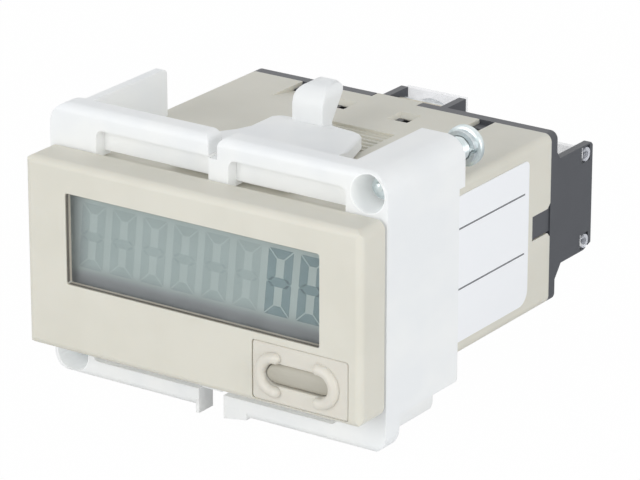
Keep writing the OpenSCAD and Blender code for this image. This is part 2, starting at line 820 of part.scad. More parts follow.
module lcd_frame() {
    key_side = button_w / 2 + button_flange_lap + frame_button_room;
    key_top = button_h / 2 + frame_button_room;
    hollow_h = lcd_h - 4 * contact_ledge;
    color("#c9c8c0")
        difference() {
            slab_xz(wall_y, board_y)
                square([inner_w - 2 * frame_gap, inner_h - 2 * frame_gap], center = true);
            translate([window_x, 0, lcd_z]) {
                slab_xz(wall_y - 1, board_y + 1)
                    square([strip_w, hollow_h], center = true);
                slab_xz(wall_y - 1, ledge_y + glass_t + frame_play)
                    square([lcd_w + 2 * frame_play, lcd_h + 2 * frame_play], center = true);
                top_and_bottom()
                    span(
                        -strip_w / 2 - frame_play, strip_w / 2 + frame_play,
                        ledge_y, board_y + 1, strip_z - strip_t / 2 - frame_play,
                        strip_z + strip_t / 2 + frame_play
                    );
            }
            span(
                button_x - key_side, button_x + key_side, wall_y - 1, board_y + 1,
                -inner_top - 1, button_z + key_top
            );
        }
}

module contact_strips() {
    color("#3c3c40")
        translate([window_x, 0, lcd_z])
            top_and_bottom()
                span(
                    -strip_w / 2, strip_w / 2, ledge_y, board_y,
                    strip_z - strip_t / 2, strip_z + strip_t / 2
                );
}

module display_board() {
    color("#2f6b4a")
        slab_xz(board_y, board_y + board_t)
            round_rect(inner_w - 2 * board_gap, inner_h - 2 * board_gap, 0.4);
}

// One arc of the guard: half a ring and two short arms
module guard_arc() {
    ring_r = well_h / 2 + guard_r;
    ring_x = (well_w - well_h) / 2;
    arm_x = guard_opening / 2;
    translate([ring_x, 0, 0])
        intersection() {
            rotate([90, 0, 0])
                rotate_extrude()
                    translate([ring_r, 0])
                        circle(guard_r);
            span(0, well_w, -well_h, well_h, -well_w, well_w);
        }
    for (side = [-1, 1])
        translate([arm_x, 0, side * ring_r])
            rotate([0, 90, 0])
                cylinder(r = guard_r, h = ring_x - arm_x);
}

module reset_plate() {
    color("#d5d2c6")
        difference() {
            union() {
                translate([plate_x, 0, plate_z])
                    slab_xz(front_y, front_y + plate_t)
                        round_rect(plate_w - 2 * plate_gap, plate_h - 2 * plate_gap, plate_r);
                translate([button_x, front_y - guard_rise, button_z])
                    both_sides() guard_arc();
            }
            translate([button_x, 0, button_z])
                slab_xz(front_y, front_y + plate_t + 1)
                    stadium(well_w, well_h);
        }
}

module reset_button() {
    flange_y = wall_y + 0.05;
    flange_w = button_w + 2 * button_flange_lap;
    crest_y = button_y - button_crown;
    crown_r = (pow(button_h / 2, 2) + pow(button_crown, 2)) / (2 * button_crown);
    color("#a5a392")
        translate([button_x, 0, button_z]) {
            intersection() {
                slab_xz(crest_y - 1, flange_y + eps)
                    stadium(button_w, button_h);
                translate([-button_w, crest_y + crown_r, 0])
                    rotate([0, 90, 0])
                        cylinder(r = crown_r, h = 2 * button_w);
            }
            slab_xz(flange_y, flange_y + button_flange_t)
                square([flange_w, button_h], center = true);
            rod_y(stem_r, flange_y, push_y - plunger_out);
        }
}

module push_switch() {
    color("#26262a")
        translate([button_x, 0, button_z])
            difference() {
                span(-push_w / 2, push_w / 2, push_y, board_y, -push_h / 2, push_h / 2);
                rod_y(
                    plunger_r + plunger_clear, push_y - 1,
                    push_y + plunger_in + button_travel + 0.15
                );
            }
}

module switch_plunger() {
    color("#2b2b2e")
        translate([button_x, 0, button_z])
            rod_y(plunger_r, push_y - plunger_out, push_y + plunger_in);
}

module main_board() {
    color("#2f6b4a")
        span(-main_side, main_side, main_y0, input_y, main_z, main_top);
}

module input_board() {
    hole = terminal_pin_w / 2 + 0.15;
    color("#2f6b4a")
        difference() {
            slab_xz(input_y, input_y + board_t)
                square([inner_w - 2 * board_gap, inner_h - 2 * board_gap], center = true);
            for (t = TERMINALS)
                rod_y(hole, input_y - 1, input_y + board_t + 1, t[0], t[1]);
        }
}

module controller_chip() {
    chip_y = board_y + board_t;
    half = chip_w / 2;
    color("#1d1d20")
        span(
            chip_x - half, chip_x + half, chip_y, chip_y + chip_t,
            chip_z - half, chip_z + half
        );
}

module clock_crystal() {
    color("#b9bcc0")
        translate([inner_side / 2, crystal_y, main_top + crystal_r])
            rotate([0, 90, 0])
                cylinder(r = crystal_r, h = crystal_l);
}

module capacitors() {
    color("#a58a66")
        for (i = [0 : capacitor_count - 1])
            translate([-inner_side * 0.8 + 2 * capacitor_l * i, capacitor_y, main_top])
                cube([capacitor_l, capacitor_w, capacitor_h]);
}

module resistors() {
    color("#202024")
        for (i = [0 : resistor_count - 1])
            translate([-inner_side * 0.8 + 2 * resistor_l * i, resistor_y, main_top])
                cube([resistor_l, resistor_w, resistor_h]);
}

module input_coupler() {
    color("#1d1d20")
        translate([inner_side / 2, coupler_y, main_top])
            cube([coupler_w, coupler_l, coupler_h]);
}

// A header body on the main board, centred at x, with pins from y0 to y1 through it
module pin_header(x, w, body_y, y0, y1) {
    count = floor(w / header_pitch);
    first = x - (count - 1) * header_pitch / 2;
    pin_z = main_top + header_h / 3;
    span(x - w / 2, x + w / 2, body_y, body_y + header_l, main_top, main_top + header_h);
    for (i = [0 : count - 1])
        translate([first + i * header_pitch - header_pin / 2, y0, pin_z])
            cube([header_pin, y1 - y0, header_pin]);
}

module front_header() {
    body_y = main_y0 + header_gap / 2;
    color("#222226")
        pin_header(0, header_w, body_y, board_y + board_t, body_y + header_l / 2);
}

module rear_header() {
    w = header_w / 2;
    body_y = input_y - header_gap - header_l;
    color("#222226")
        pin_header(-main_side + w / 2 + header_gap, w, body_y, body_y + header_l / 2, input_y);
}

module lithium_cell() {
    color("#c8c9c4")
        translate([0, cell_y, cell_z])
            rotate([0, 90, 0]) {
                translate([0, 0, -cell_l / 2])
                    cylinder(r = cell_r, h = cell_l - cell_end_h);
                cylinder(r = cell_end_r, h = cell_l / 2);
            }
}

module cell_tabs() {
    color("#c9c7bd")
        both_sides()
            span(
                cell_l / 2, cell_l / 2 + cell_tab_t, cell_y - cell_tab_w / 2,
                cell_y + cell_tab_w / 2, cell_z - cell_end_r, main_z
            );
}

// A slide switch's body, with the slot that its knob runs in
module slide_body(x) {
    slot = knob_w + knob_travel + 2 * knob_gap;
    depth = knob_foot + knob_gap;
    color("#242428")
        difference() {
            translate([x, slide_y, 0])
                span(
                    -slide_body_w / 2, slide_body_w / 2, -slide_body_l / 2,
                    slide_body_l / 2, main_top, slide_top
                );
            translate([x, slide_y, 0])
                span(
                    -slot / 2, slot / 2, -knob_w / 2 - knob_gap, knob_w / 2 + knob_gap,
                    slide_top - depth, slide_top + 1
                );
        }
}

// A slide switch's knob at the left end of its travel
module slide_knob(x) {
    x0 = x - (knob_w + knob_travel) / 2;
    color("#2b2b2e")
        span(
            x0, x0 + knob_w, slide_y - knob_w / 2, slide_y + knob_w / 2,
            slide_top - knob_foot, slide_top + knob_rise
        );
}

module protect_switch() { slide_body(protect_x); }

module protect_knob() { slide_knob(protect_x); }

module range_switch() { slide_body(range_x); }

module range_knob() { slide_knob(range_x); }

// One end wall of the terminal block, with gussets and the openings for the clips
module block_end_wall() {
    opening = clip_r + cover_gap;
    difference() {
        slab_yz(block_side - barrier_t, block_side)
            polygon([
                [base_y - eps, -block_h / 2 - gusset],
                [base_y + 0.8 * gusset, -block_h / 2],
                [block_y - 1.7, -block_h / 2], [block_y, -block_h / 2 + 0.6],
                [block_y, block_h / 2 - 0.4], [block_y - 0.4, block_h / 2],
                [base_y + 0.75 * gusset_top, block_h / 2],
                [base_y - eps, block_h / 2 + gusset_top]
            ]);
        top_and_bottom()
            span(
                block_side - barrier_t - 1, block_side + 1, cover_y - cover_gap,
                clip_y + opening, clip_z - opening, clip_z + opening
            );
    }
}

module terminal_base() {
    barrier_y = cover_y - cover_gap;
    mid = middle_w / 2;
    pad = terminal_w / 2;
    color("#585a5f")
        difference() {
            union() {
                difference() {
                    slab_xz(case_l, base_y)
                        round_rect(case_w, case_h, case_edge_r);
                    span(
                        rear_tab_x - rear_tab_w / 2 - latch_gap,
                        rear_tab_x + rear_tab_w / 2 + latch_gap,
                        case_l - 1, base_y + 1, inner_top - latch_gap, case_top + 1
                    );
                }
                both_sides() {
                    block_end_wall();
                    span(
                        mid - barrier_t, mid, base_y - eps, barrier_y,
                        -middle_h / 2, middle_h / 2
                    );
                    span(
                        mid + chamber_w, mid + chamber_w + barrier_t, base_y - eps, barrier_y,
                        -block_h / 2, block_h / 2
                    );
                    span(
                        case_side - case_wall, case_side - 0.15, case_l - latch_l,
                        case_l + eps, -latch_h / 2, latch_h / 2
                    );
                    top_and_bottom()
                        span(
                            hook_x - hook_w / 2, hook_x + hook_w / 2, case_l - hook_l,
                            case_l + eps, inner_top + 0.2, case_top - 0.5
                        );
                }
                span(-mid, mid, base_y - eps, barrier_y, -barrier_t / 2, barrier_t / 2);
                for (t = TERMINALS)
                    translate([t[0], 0, t[1]])
                        span(
                            -chamber_w / 2, chamber_w / 2, base_y - eps, terminal_y,
                            -pad, pad
                        );
            }
            for (t = TERMINALS) {
                rod_y(screw_r + screw_gap, head_y - screw_l - 0.3, terminal_y + 1, t[0], t[1]);
                terminal_pin(t, 0.15, case_l - 1);
            }
        }
}

// The pin that runs forward from one terminal plate
module terminal_pin(t, gap, y0) {
    half_w = terminal_pin_w / 2 + gap;
    side = t[1] < 0 ? -1 : 1;
    z = t[1] + side * (terminal_w / 2 - terminal_pin_t / 2);
    span(
        t[0] - half_w, t[0] + half_w, y0, terminal_y + eps,
        z - terminal_pin_t / 2 - gap, z + terminal_pin_t / 2 + gap
    );
}

module terminal_plates() {
    color("#b7b3a6")
        for (t = TERMINALS)
            union() {
                difference() {
                    translate([t[0], 0, t[1]])
                        span(
                            -terminal_w / 2, terminal_w / 2, terminal_y, washer_y,
                            -terminal_w / 2, terminal_w / 2
                        );
                    rod_y(screw_r + clamp_clear, terminal_y - 1, washer_y + 1, t[0], t[1]);
                }
                terminal_pin(t, 0, input_y + board_t);
            }
}

module clamp_washers() {
    color("#c2c4c6")
        for (t = TERMINALS)
            difference() {
                translate([t[0], 0, t[1]])
                    span(
                        -washer_w / 2, washer_w / 2, washer_y, head_y,
                        -washer_w / 2, washer_w / 2
                    );
                rod_y(screw_r + 0.1, washer_y - 1, head_y + 1, t[0], t[1]);
            }
}

module terminal_screws() {
    top_y = head_y + screw_head_h;
    color("#c2c4c6")
        for (t = TERMINALS)
            translate([t[0], 0, t[1]])
                difference() {
                    union() {
                        rod_y(screw_r, head_y - screw_l, head_y + eps);
                        rod_y(screw_head_r, head_y, top_y);
                    }
                    for (turn = [0, 90])
                        rotate([0, turn, 0])
                            span(
                                -screw_head_r * 0.62, screw_head_r * 0.62,
                                top_y - screw_slot_h, top_y + 1,
                                -screw_slot_w / 2, screw_slot_w / 2
                            );
                }
}

module terminal_cover() {
    inside = block_side - barrier_t - cover_gap;
    cover_end = block_side + 0.1;
    color("#dfe4ea", 0.7) {
        difference() {
            slab_xz(cover_y, cover_y + cover_t) {
                square([2 * inside, cover_h], center = true);
                square([middle_w - 0.6, cover_middle_h], center = true);
            }
            for (t = TERMINALS)
                rod_y(cover_hole_r, cover_y - 1, cover_y + cover_t + 1, t[0], t[1]);
        }
        both_sides()
            top_and_bottom()
                slab_yz(inside - 0.5, cover_end)
                    translate([clip_y, clip_z])
                        difference() {
                            circle(clip_r);
                            circle(clip_r - clip_t);
                            translate([-clip_r - 1, -clip_r + clip_t])
                                square([clip_r + 1, 2 * (clip_r - clip_t)]);
                        }
    }
}

module side_label() {
    y0 = label_y1 - label_l;
    low = -label_h / 2;
    color("#f2f4f7")
        slab_yz(case_side, case_side + label_t)
            difference() {
                union() {
                    translate([y0 + label_l / 2, 0])
                        round_rect(label_l, label_h, label_r);
                }
                difference() {
                    translate([label_y1 - label_big_r, low - 1])
                        square([label_big_r + 1, label_big_r + 1]);
                    translate([label_y1 - label_big_r, low + label_big_r])
                        circle(label_big_r);
                }
            }
}

// The adapter's front frame, with its rounded outer edge
module adapter_frame() {
    intersection() {
        slab_xz(adapter_y0, adapter_y1)
            round_rect(2 * adapter_side, adapter_h, adapter_r);
        slab_yz(-2 * adapter_side, 2 * adapter_side)
            translate([adapter_y0, 0])
                front_rounded(adapter_front_t, adapter_h, adapter_edge_r);
    }
}

// The rib and the tapered lug beside the gap in the bottom of the front frame
module adapter_lugs() {
    x0 = gap_x - gap_w / 2;
    x1 = gap_x + gap_w / 2;
    low = -adapter_top;
    slab_xz(adapter_y0, adapter_y1) {
        polygon([
            [x0 - rib_t, low + 1], [x0 - rib_t, low - rib_rise],
            [x0 + 0.3, low - rib_rise], [x0 + 0.3, low + 1]
        ]);
        polygon([
            [x1 - 0.3, low + 1], [x1 - 0.3, low - lug_rise], [x1, low - lug_rise],
            [x1 + lug_l, low], [x1 + lug_l, low + 1]
        ]);
    }
}

// The corner rounded off on one side, -1 or 1, of a slot's mouth at x
module mouth_corner(x, side) {
    translate([x + side * slot_r, adapter_top - slot_r])
        difference() {
            translate([side > 0 ? -slot_r - eps : 0, 0])
                square(slot_r + eps);
            circle(slot_r);
        }
}

// What is cut through the front frame: the opening with its reliefs, slot and gap
module adapter_openings() {
    low = -adapter_top;
    slab_xz(adapter_y0 - 1, adapter_y1 + eps) {
        square([2 * opening_side, 2 * opening_top], center = true);
        translate([slot_x - slot_w / 2, adapter_top - slot_l])
            square([slot_w, slot_l + 1]);
        for (s = [-1, 1])
            mouth_corner(slot_x + s * slot_w / 2, s);
        translate([gap_x - gap_w / 2, low - rib_rise - lug_rise - 1])
            square([gap_w, gap_l + rib_rise + lug_rise + 1]);
    }
    half_turn()
        for (s = [-1, 1]) {
            near = relief_x + s * foot_half_w;
            far = relief_x + s * relief_half_w;
            x0 = min(near, far);
            x1 = max(near, far);
            top_z = opening_top + relief_rise;
            span(x0, x1, adapter_y0 - 1, adapter_y1 + eps, opening_top - 1, top_z);
            span(
                x0, x1, adapter_y0 - 1, adapter_y0 + relief_t,
                opening_top - 1, top_z + relief_h
            );
        }
}

// The boss that holds one clamp screw, with its outer corner round
module adapter_boss() {
    corner_x = adapter_side - adapter_r;
    corner_z = adapter_top - adapter_r;
    slab_xz(adapter_y1 - 0.5, boss_y1) {
        translate([boss_x0, opening_top])
            square([adapter_side - boss_x0, corner_z - opening_top]);
        translate([boss_x0, opening_top])
            square([corner_x - boss_x0, adapter_top - opening_top]);
        translate([corner_x, corner_z])
            circle(adapter_r);
    }
}

// The fin that stands opposite one boss, tied to the side wall by a corner plate,
// with its rear edge at y1 and its outer edge at top_z
module adapter_fin(y1, top_z) {
    slab_yz(-fin_x0 - fin_t, -fin_x0)
        difference() {
            translate([adapter_y1 - 0.5, opening_top])
                square([y1 - adapter_y1 + 0.5, top_z - opening_top]);
            translate([y1 - 0.8, top_z - 0.8])
                difference() {
                    square([1, 1]);
                    circle(0.8);
                }
        }
    span(
        -adapter_side, -fin_x0, adapter_y1 - 0.5, adapter_side_y1,
        opening_top, adapter_side_h
    );
}

// One side wall of the adapter, along the side of the case
module adapter_side_wall() {
    span(
        opening_side, adapter_side, adapter_y1 - 0.5, adapter_side_y1,
        -adapter_side_h, adapter_side_h
    );
}

// The upper tongue, flared at its root and sloped at its rear edge
module adapter_tongue() {
    neck_y = adapter_y1 + tongue_root_l;
    flare_y = neck_y - 4.4;
    corner_y = tongue_y1 - tongue_r;
    big_y = tongue_y1 - tongue_big_r;
    left = -tongue_half_w;
    intersection() {
        slab_xy(tongue_z0, tongue_z1)
            union() {
                polygon([
                    [-tongue_root_half_w, adapter_y1 - 0.5],
                    [tongue_root_half_w, adapter_y1 - 0.5],
                    [tongue_root_half_w, neck_y - 1.2], [tongue_wide, big_y],
                    [tongue_wide - tongue_big_r, big_y],
                    [tongue_wide - tongue_big_r, tongue_y1],
                    [left + tongue_r, tongue_y1], [left + tongue_r, corner_y],
                    [left, corner_y], [left, neck_y], [left - 0.5, neck_y - 2.2],
                    [-tongue_root_half_w, flare_y]
                ]);
                translate([left + tongue_r, corner_y])
                    circle(tongue_r);
                translate([tongue_wide - tongue_big_r, big_y])
                    circle(tongue_big_r);
            }
        slab_yz(-2 * adapter_side, 2 * adapter_side)
            polygon([
                [0, tongue_z0 - 1], [tongue_y1 + 1, tongue_z0 - 1],
                [tongue_y1 + eps, tongue_z1 - tongue_slope_h],
                [tongue_y1 - tongue_slope_l, tongue_z1], [0, tongue_z1]
            ]);
    }
}

// The pawl under the upper tongue, just clear of the ratchet teeth
module adapter_pawl() {
    y1 = tongue_y1 - 0.4;
    tip_z = crest_z + pawl_gap;
    slab_yz(-pawl_half_w, pawl_half_w)
        polygon([
            [y1 - pawl_l, tongue_z0 + 0.2], [y1 - 0.5, tip_z], [y1, tip_z],
            [y1, tongue_z0 + 0.2]
        ]);
}

// The finger tab on the upper tongue, which leans back over the tongue's end
module adapter_tab() {
    base_z = tongue_z1 - tongue_slope_h - 0.1;
    top_z = tongue_z1 + tab_h;
    rear_y = tongue_y1;
    top_y = rear_y + tab_lean * tab_h;
    corner = 0.6;
    intersection() {
        slab_yz(tab_x0, tab_x1) {
            polygon([
                [tab_y0, base_z], [rear_y, base_z], [rear_y, tongue_z1],
                [top_y - tab_lean * corner, top_z - corner], [top_y - corner, top_z],
                [tab_y0 + tab_front_r, top_z], [tab_y0 + tab_front_r, top_z - tab_front_r],
                [tab_y0, top_z - tab_front_r]
            ]);
            intersection() {
                translate([tab_y0 + tab_front_r, top_z - tab_front_r])
                    circle(tab_front_r);
                translate([tab_y0, top_z - tab_front_r])
                    square(tab_front_r);
            }
        }
        slab_xz(tab_y0 - 1, top_y + 1) {
            translate([tab_x0, base_z - 1])
                square([tab_x1 - tab_x0, top_z - tab_side_r - base_z + 1]);
            translate([tab_x0 + tab_side_r, top_z - tab_side_r - eps])
                square([tab_x1 - tab_x0 - 2 * tab_side_r, tab_side_r + eps]);
            for (x = [tab_x0 + tab_side_r, tab_x1 - tab_side_r])
                translate([x, top_z - tab_side_r])
                    circle(tab_side_r);
        }
    }
}

module mounting_adapter() {
    color("#e6e9ee", 0.9)
        difference() {
            union() {
                adapter_frame();
                adapter_lugs();
                adapter_fin(fin_y1, adapter_top);
                rotate([0, 180, 0])
                    adapter_fin(fin_low_y1, adapter_top - fin_low_step);
                half_turn() {
                    adapter_boss();
                    adapter_side_wall();
                    adapter_tongue();
                    adapter_pawl();
                    adapter_tab();
                }
            }
            adapter_openings();
            half_turn() {
                rod_y(
                    clamp_front_r, adapter_y0 - 1, boss_y1 - clamp_thread_l,
                    clamp_x, clamp_z
                );
                rod_y(clamp_r + clamp_clear, adapter_y0 - 1, boss_y1 + 1, clamp_x, clamp_z);
            }
        }
}

// A clamp screw with a point at its tip and a cross in its head
module clamp_screw() {
    point_y = clamp_tip_y + clamp_point_l;
    head_y1 = clamp_head_y + clamp_head_h;
    color("#b9bfc0")
        translate([clamp_x, 0, clamp_z])
            difference() {
                union() {
                    translate([0, clamp_tip_y, 0])
                        rotate([-90, 0, 0])
                            cylinder(r1 = clamp_point_r, r2 = clamp_r, h = clamp_point_l + eps);
                    rod_y(clamp_r, point_y, clamp_head_y + eps);
                    rod_y(clamp_head_r, clamp_head_y, head_y1 - 0.9);
                    translate([0, head_y1 - 0.9 - eps, 0])
                        rotate([-90, 0, 0])
                            cylinder(r1 = clamp_head_r, r2 = clamp_head_r - 0.9, h = 0.9 + eps);
                }
                for (turn = [0, 90])
                    rotate([0, turn, 0])
                        span(
                            -clamp_head_r * 0.6, clamp_head_r * 0.6, head_y1 - 1.1,
                            head_y1 + 1, -0.35, 0.35
                        );
            }
}

// A split spring washer under a clamp screw's head
module spring_washer() {
    color("#8f9497")
        translate([clamp_x, 0, clamp_z])
            difference() {
                rod_y(spring_r, clamp_head_y - spring_t, clamp_head_y);
                rod_y(clamp_r + 0.06, clamp_head_y - spring_t - 1, clamp_head_y + 1);
                span(
                    0, spring_r + 1, clamp_head_y - spring_t - 1, clamp_head_y + 1,
                    -spring_split / 2, spring_split / 2
                );
            }
}

module clamp_screw_upper() { clamp_screw(); }

module clamp_screw_lower() { rotate([0, 180, 0]) clamp_screw(); }

module spring_washer_upper() { spring_washer(); }

module spring_washer_lower() { rotate([0, 180, 0]) spring_washer(); }

housing();
window_lens();
lcd_panel();
lcd_frame();
contact_strips();
display_board();
reset_plate();
reset_button();
push_switch();
switch_plunger();
main_board();
input_board();
controller_chip();
clock_crystal();
capacitors();
resistors();
input_coupler();
front_header();
rear_header();
lithium_cell();
cell_tabs();
protect_switch();
protect_knob();
range_switch();
range_knob();
terminal_base();
terminal_plates();
clamp_washers();
terminal_screws();
terminal_cover();
side_label();
mounting_adapter();
clamp_screw_upper();
clamp_screw_lower();
spring_washer_upper();
spring_washer_lower();
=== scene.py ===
import json
import logging
import math
from collections.abc import Callable
from dataclasses import dataclass, field
from enum import Enum
from functools import reduce

import bmesh
import bpy
from mathutils import Matrix, Vector

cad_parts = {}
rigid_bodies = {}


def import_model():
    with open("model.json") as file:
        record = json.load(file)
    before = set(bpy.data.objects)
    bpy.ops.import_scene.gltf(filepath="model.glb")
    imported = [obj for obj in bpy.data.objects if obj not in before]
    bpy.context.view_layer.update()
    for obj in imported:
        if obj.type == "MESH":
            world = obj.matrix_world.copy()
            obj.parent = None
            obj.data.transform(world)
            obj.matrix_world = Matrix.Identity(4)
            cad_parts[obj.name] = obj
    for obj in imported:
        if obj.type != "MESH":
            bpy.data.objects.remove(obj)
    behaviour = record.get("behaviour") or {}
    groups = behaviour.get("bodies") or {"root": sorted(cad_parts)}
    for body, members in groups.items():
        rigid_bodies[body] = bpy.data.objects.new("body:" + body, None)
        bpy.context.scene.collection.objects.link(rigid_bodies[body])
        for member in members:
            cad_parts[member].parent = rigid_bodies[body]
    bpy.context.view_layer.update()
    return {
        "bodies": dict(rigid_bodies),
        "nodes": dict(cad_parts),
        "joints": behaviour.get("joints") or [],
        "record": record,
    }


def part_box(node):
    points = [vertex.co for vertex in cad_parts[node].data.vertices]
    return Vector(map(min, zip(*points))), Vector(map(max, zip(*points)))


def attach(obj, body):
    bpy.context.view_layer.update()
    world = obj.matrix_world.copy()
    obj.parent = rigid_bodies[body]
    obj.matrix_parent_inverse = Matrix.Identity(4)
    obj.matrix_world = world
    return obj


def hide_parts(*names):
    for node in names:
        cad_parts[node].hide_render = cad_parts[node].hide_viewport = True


MM = 0.001
MERGE_MM = 0.002
FLAT_DEGREES = 1.0
EDGE_DEGREES = 32.0
EDGE_STEPS = 3
LOG = logging.getLogger("hour_meter")

Triple = tuple[float, float, float]
Pair = tuple[float, float]


def linear(code: str) -> Triple:
    """Turns a display colour into the linear values that shaders use.

    Args:
        code: Six hexadecimal digits after a hash sign.

    Returns:
        Red, green and blue from 0 to 1.
    """
    toe, slope, lift, power = 0.04045, 12.92, 0.055, 2.4
    values = []
    for start in (1, 3, 5):
        shown = int(code[start:start + 2], 16) / 255
        values.append(shown / slope if shown <= toe else ((shown + lift) / (1 + lift)) ** power)
    return tuple(values)


def box_mm(node: str) -> tuple[Vector, Vector]:
    """The least and the greatest corner of a node's box, in millimetres."""
    low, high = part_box(node)
    return Vector(low) / MM, Vector(high) / MM


def centre(node: str) -> Vector:
    """The middle of a node's box, in millimetres."""
    low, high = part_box(node)
    return (Vector(low) + Vector(high)) / (2 * MM)


class Signal:
    """A shader value that takes part in Python arithmetic and adds its own Math nodes."""

    def __init__(self, graph: "Graph", socket: bpy.types.NodeSocket) -> None:
        """Keeps the socket and the graph that it belongs to."""
        self.graph = graph
        self.socket = socket

    def _math(self, operation: str, first: object, second: object = None) -> "Signal":
        """Adds one Math node.

        Args:
            operation: The node's operation.
            first: Its first value.
            second: Its second value, where it has one.

        Returns:
            The node's result.
        """
        values = {0: first} if second is None else {0: first, 1: second}
        node = self.graph.node("ShaderNodeMath", {"operation": operation}, values)
        return Signal(self.graph, node.outputs[0])

    def __add__(self, other: object) -> "Signal":
        """self + other"""
        return self._math("ADD", self, other)

    def __radd__(self, other: object) -> "Signal":
        """other + self"""
        return self._math("ADD", other, self)

    def __sub__(self, other: object) -> "Signal":
        """self - other"""
        return self._math("SUBTRACT", self, other)

    def __rsub__(self, other: object) -> "Signal":
        """other - self"""
        return self._math("SUBTRACT", other, self)

    def __mul__(self, other: object) -> "Signal":
        """self * other"""
        return self._math("MULTIPLY", self, other)

    def __rmul__(self, other: object) -> "Signal":
        """other * self"""
        return self._math("MULTIPLY", other, self)

    def __abs__(self) -> "Signal":
        """The value without its sign."""
        return self._math("ABSOLUTE", self)

    def above(self, edge: float) -> "Signal":
        """1 where the value is above the edge, else 0."""
        return self._math("GREATER_THAN", self, edge)

    def below(self, edge: float) -> "Signal":
        """1 where the value is below the edge, else 0."""
        return self._math("LESS_THAN", self, edge)

    def highest(self, other: object) -> "Signal":
        """The larger of two values."""
        return self._math("MAXIMUM", self, other)

    def sine(self) -> "Signal":
        """The sine of the value in radians."""
        return self._math("SINE", self)

    def around(self, middle: float, span: float) -> "Signal":
        """Spreads a value from 0 to 1 evenly to both sides of a middle."""
        return self * span + (middle - span / 2)

    def rise(self, start: float, end: float, low: float = 0.0, high: float = 1.0) -> "Signal":
        """Maps the stretch from start to end smoothly onto low to high.

        Args:
            start: Value that gives low.
            end: Value that gives high.
            low: Result at and before start.
            high: Result at and past end.

        Returns:
            The mapped value.
        """
        node = self.graph.node(
            "ShaderNodeMapRange",
            {"interpolation_type": "SMOOTHSTEP"},
            {"Value": self, "From Min": start, "From Max": end, "To Min": low, "To Max": high},
        )
        return Signal(self.graph, node.outputs[0])


class Graph:
    """The node tree of a material or a world, built through one node-making method."""

    def __init__(self, owner: bpy.types.Material | bpy.types.World) -> None:
        """Empties the owner's node tree and keeps it.

        Args:
            owner: The material or world.
        """
        owner.use_nodes = True
        self.owner = owner
        self.tree = owner.node_tree
        self.tree.nodes.clear()

    @classmethod
    def of_material(cls, name: str) -> "Graph":
        """Starts an empty material of that name."""
        return cls(bpy.data.materials.new(name))

    def node(self, kind: str, settings: dict | None = None,
             inputs: dict | None = None) -> bpy.types.Node:
        """Adds a node, sets its options and then its sockets.

        Args:
            kind: The node's type.
            settings: Options of the node, set first.
            inputs: Values, signals or sockets for its input sockets, by name or number.

        Returns:
            The node.
        """
        made = self.tree.nodes.new(kind)
        for key, value in (settings or {}).items():
            setattr(made, key, value)
        for key, value in (inputs or {}).items():
            self.feed(made.inputs[key], value)
        return made

    def feed(self, target: bpy.types.NodeSocket, value: object) -> None:
        """Links a signal or socket to an input, or sets a plain value on it.

        Args:
            target: The input socket.
            value: A signal, a socket, a colour code or another plain value.
        """
        if isinstance(value, str):
            value = linear(value)
        if isinstance(value, Signal):
            self.tree.links.new(value.socket, target)
        elif isinstance(value, bpy.types.NodeSocket):
            self.tree.links.new(value, target)
        elif isinstance(value, tuple) and len(value) == 3 and target.type == "RGBA":
            target.default_value = (*value, 1.0)
        else:
            target.default_value = value

    def place(self) -> bpy.types.NodeSocket:
        """The point on the piece, in metres in the object's own frame."""
        return self.node("ShaderNodeTexCoord").outputs["Object"]

    def ray(self, kind: str) -> Signal:
        """1 for rays of that kind, by the light path's own name for it."""
        return Signal(self, self.node("ShaderNodeLightPath").outputs[kind])

    def axes(self) -> tuple[Signal, Signal, Signal]:
        """The three coordinates of the point on the piece."""
        split = self.node("ShaderNodeSeparateXYZ", inputs={0: self.place()})
        return tuple(Signal(self, out) for out in split.outputs)

    def noise(self, size_mm: float, detail: float = 2.0,
              stretch: Triple = (1.0, 1.0, 1.0)) -> Signal:
        """A soft random field from 0 to 1.

        Args:
            size_mm: Size of its features.
            detail: How many finer layers it has.
            stretch: How much longer the features are along each axis.

        Returns:
            The field.
        """
        scale = tuple(1 / s for s in stretch)
        mapped = self.node("ShaderNodeMapping", inputs={"Vector": self.place(), "Scale": scale})
        made = self.node(
            "ShaderNodeTexNoise",
            inputs={"Vector": mapped.outputs[0], "Scale": 1 / (size_mm * MM), "Detail": detail},
        )
        return Signal(self, made.outputs[0])

    def clouds(self, size_mm: float, edges: Pair) -> Signal:
        """A random field whose stretch between two edges is spread over 0 to 1."""
        return self.noise(size_mm, 3.0).rise(*edges)

    def blend(self, factor: object, first: object, second: object) -> bpy.types.NodeSocket:
        """Mixes two colours.

        Args:
            factor: 0 for the first colour, 1 for the second.
            first: The first colour.
            second: The second colour.

        Returns:
            The mixed colour.
        """
        mixed = self.node("ShaderNodeMix", {"data_type": "RGBA"})
        self.feed(mixed.inputs[0], factor)
        self.feed(mixed.inputs[6], first)
        self.feed(mixed.inputs[7], second)
        return mixed.outputs[2]

    def bump(self, height: Signal, depth_mm: float) -> bpy.types.NodeSocket:
        """Turns a height field from 0 to 1 into a normal."""
        inputs = {"Height": height, "Strength": 1.0, "Distance": depth_mm * MM}
        return self.node("ShaderNodeBump", inputs=inputs).outputs[0]

    def shade(self, inputs: dict) -> bpy.types.Material:
        """Ends the material in one Principled shader.

        Args:
            inputs: What feeds the shader, by socket.

        Returns:
            The finished material.
        """
        shader = self.node("ShaderNodeBsdfPrincipled", inputs=inputs)
        self.node("ShaderNodeOutputMaterial", inputs={"Surface": shader.outputs[0]})
        return self.owner


class Recipe:
    """A finish, stated as what feeds the sockets of its Principled shader."""

    def sockets(self, graph: Graph) -> dict:
        """Builds what feeds the shader.

        Args:
            graph: The material's node tree.

        Returns:
            Values, signals and sockets, by the name of the shader's socket.
        """
        raise NotImplementedError

    def material(self, name: str) -> bpy.types.Material:
        """Builds the finish as a material of that name."""
        graph = Graph.of_material(name)
        return graph.shade(self.sockets(graph))


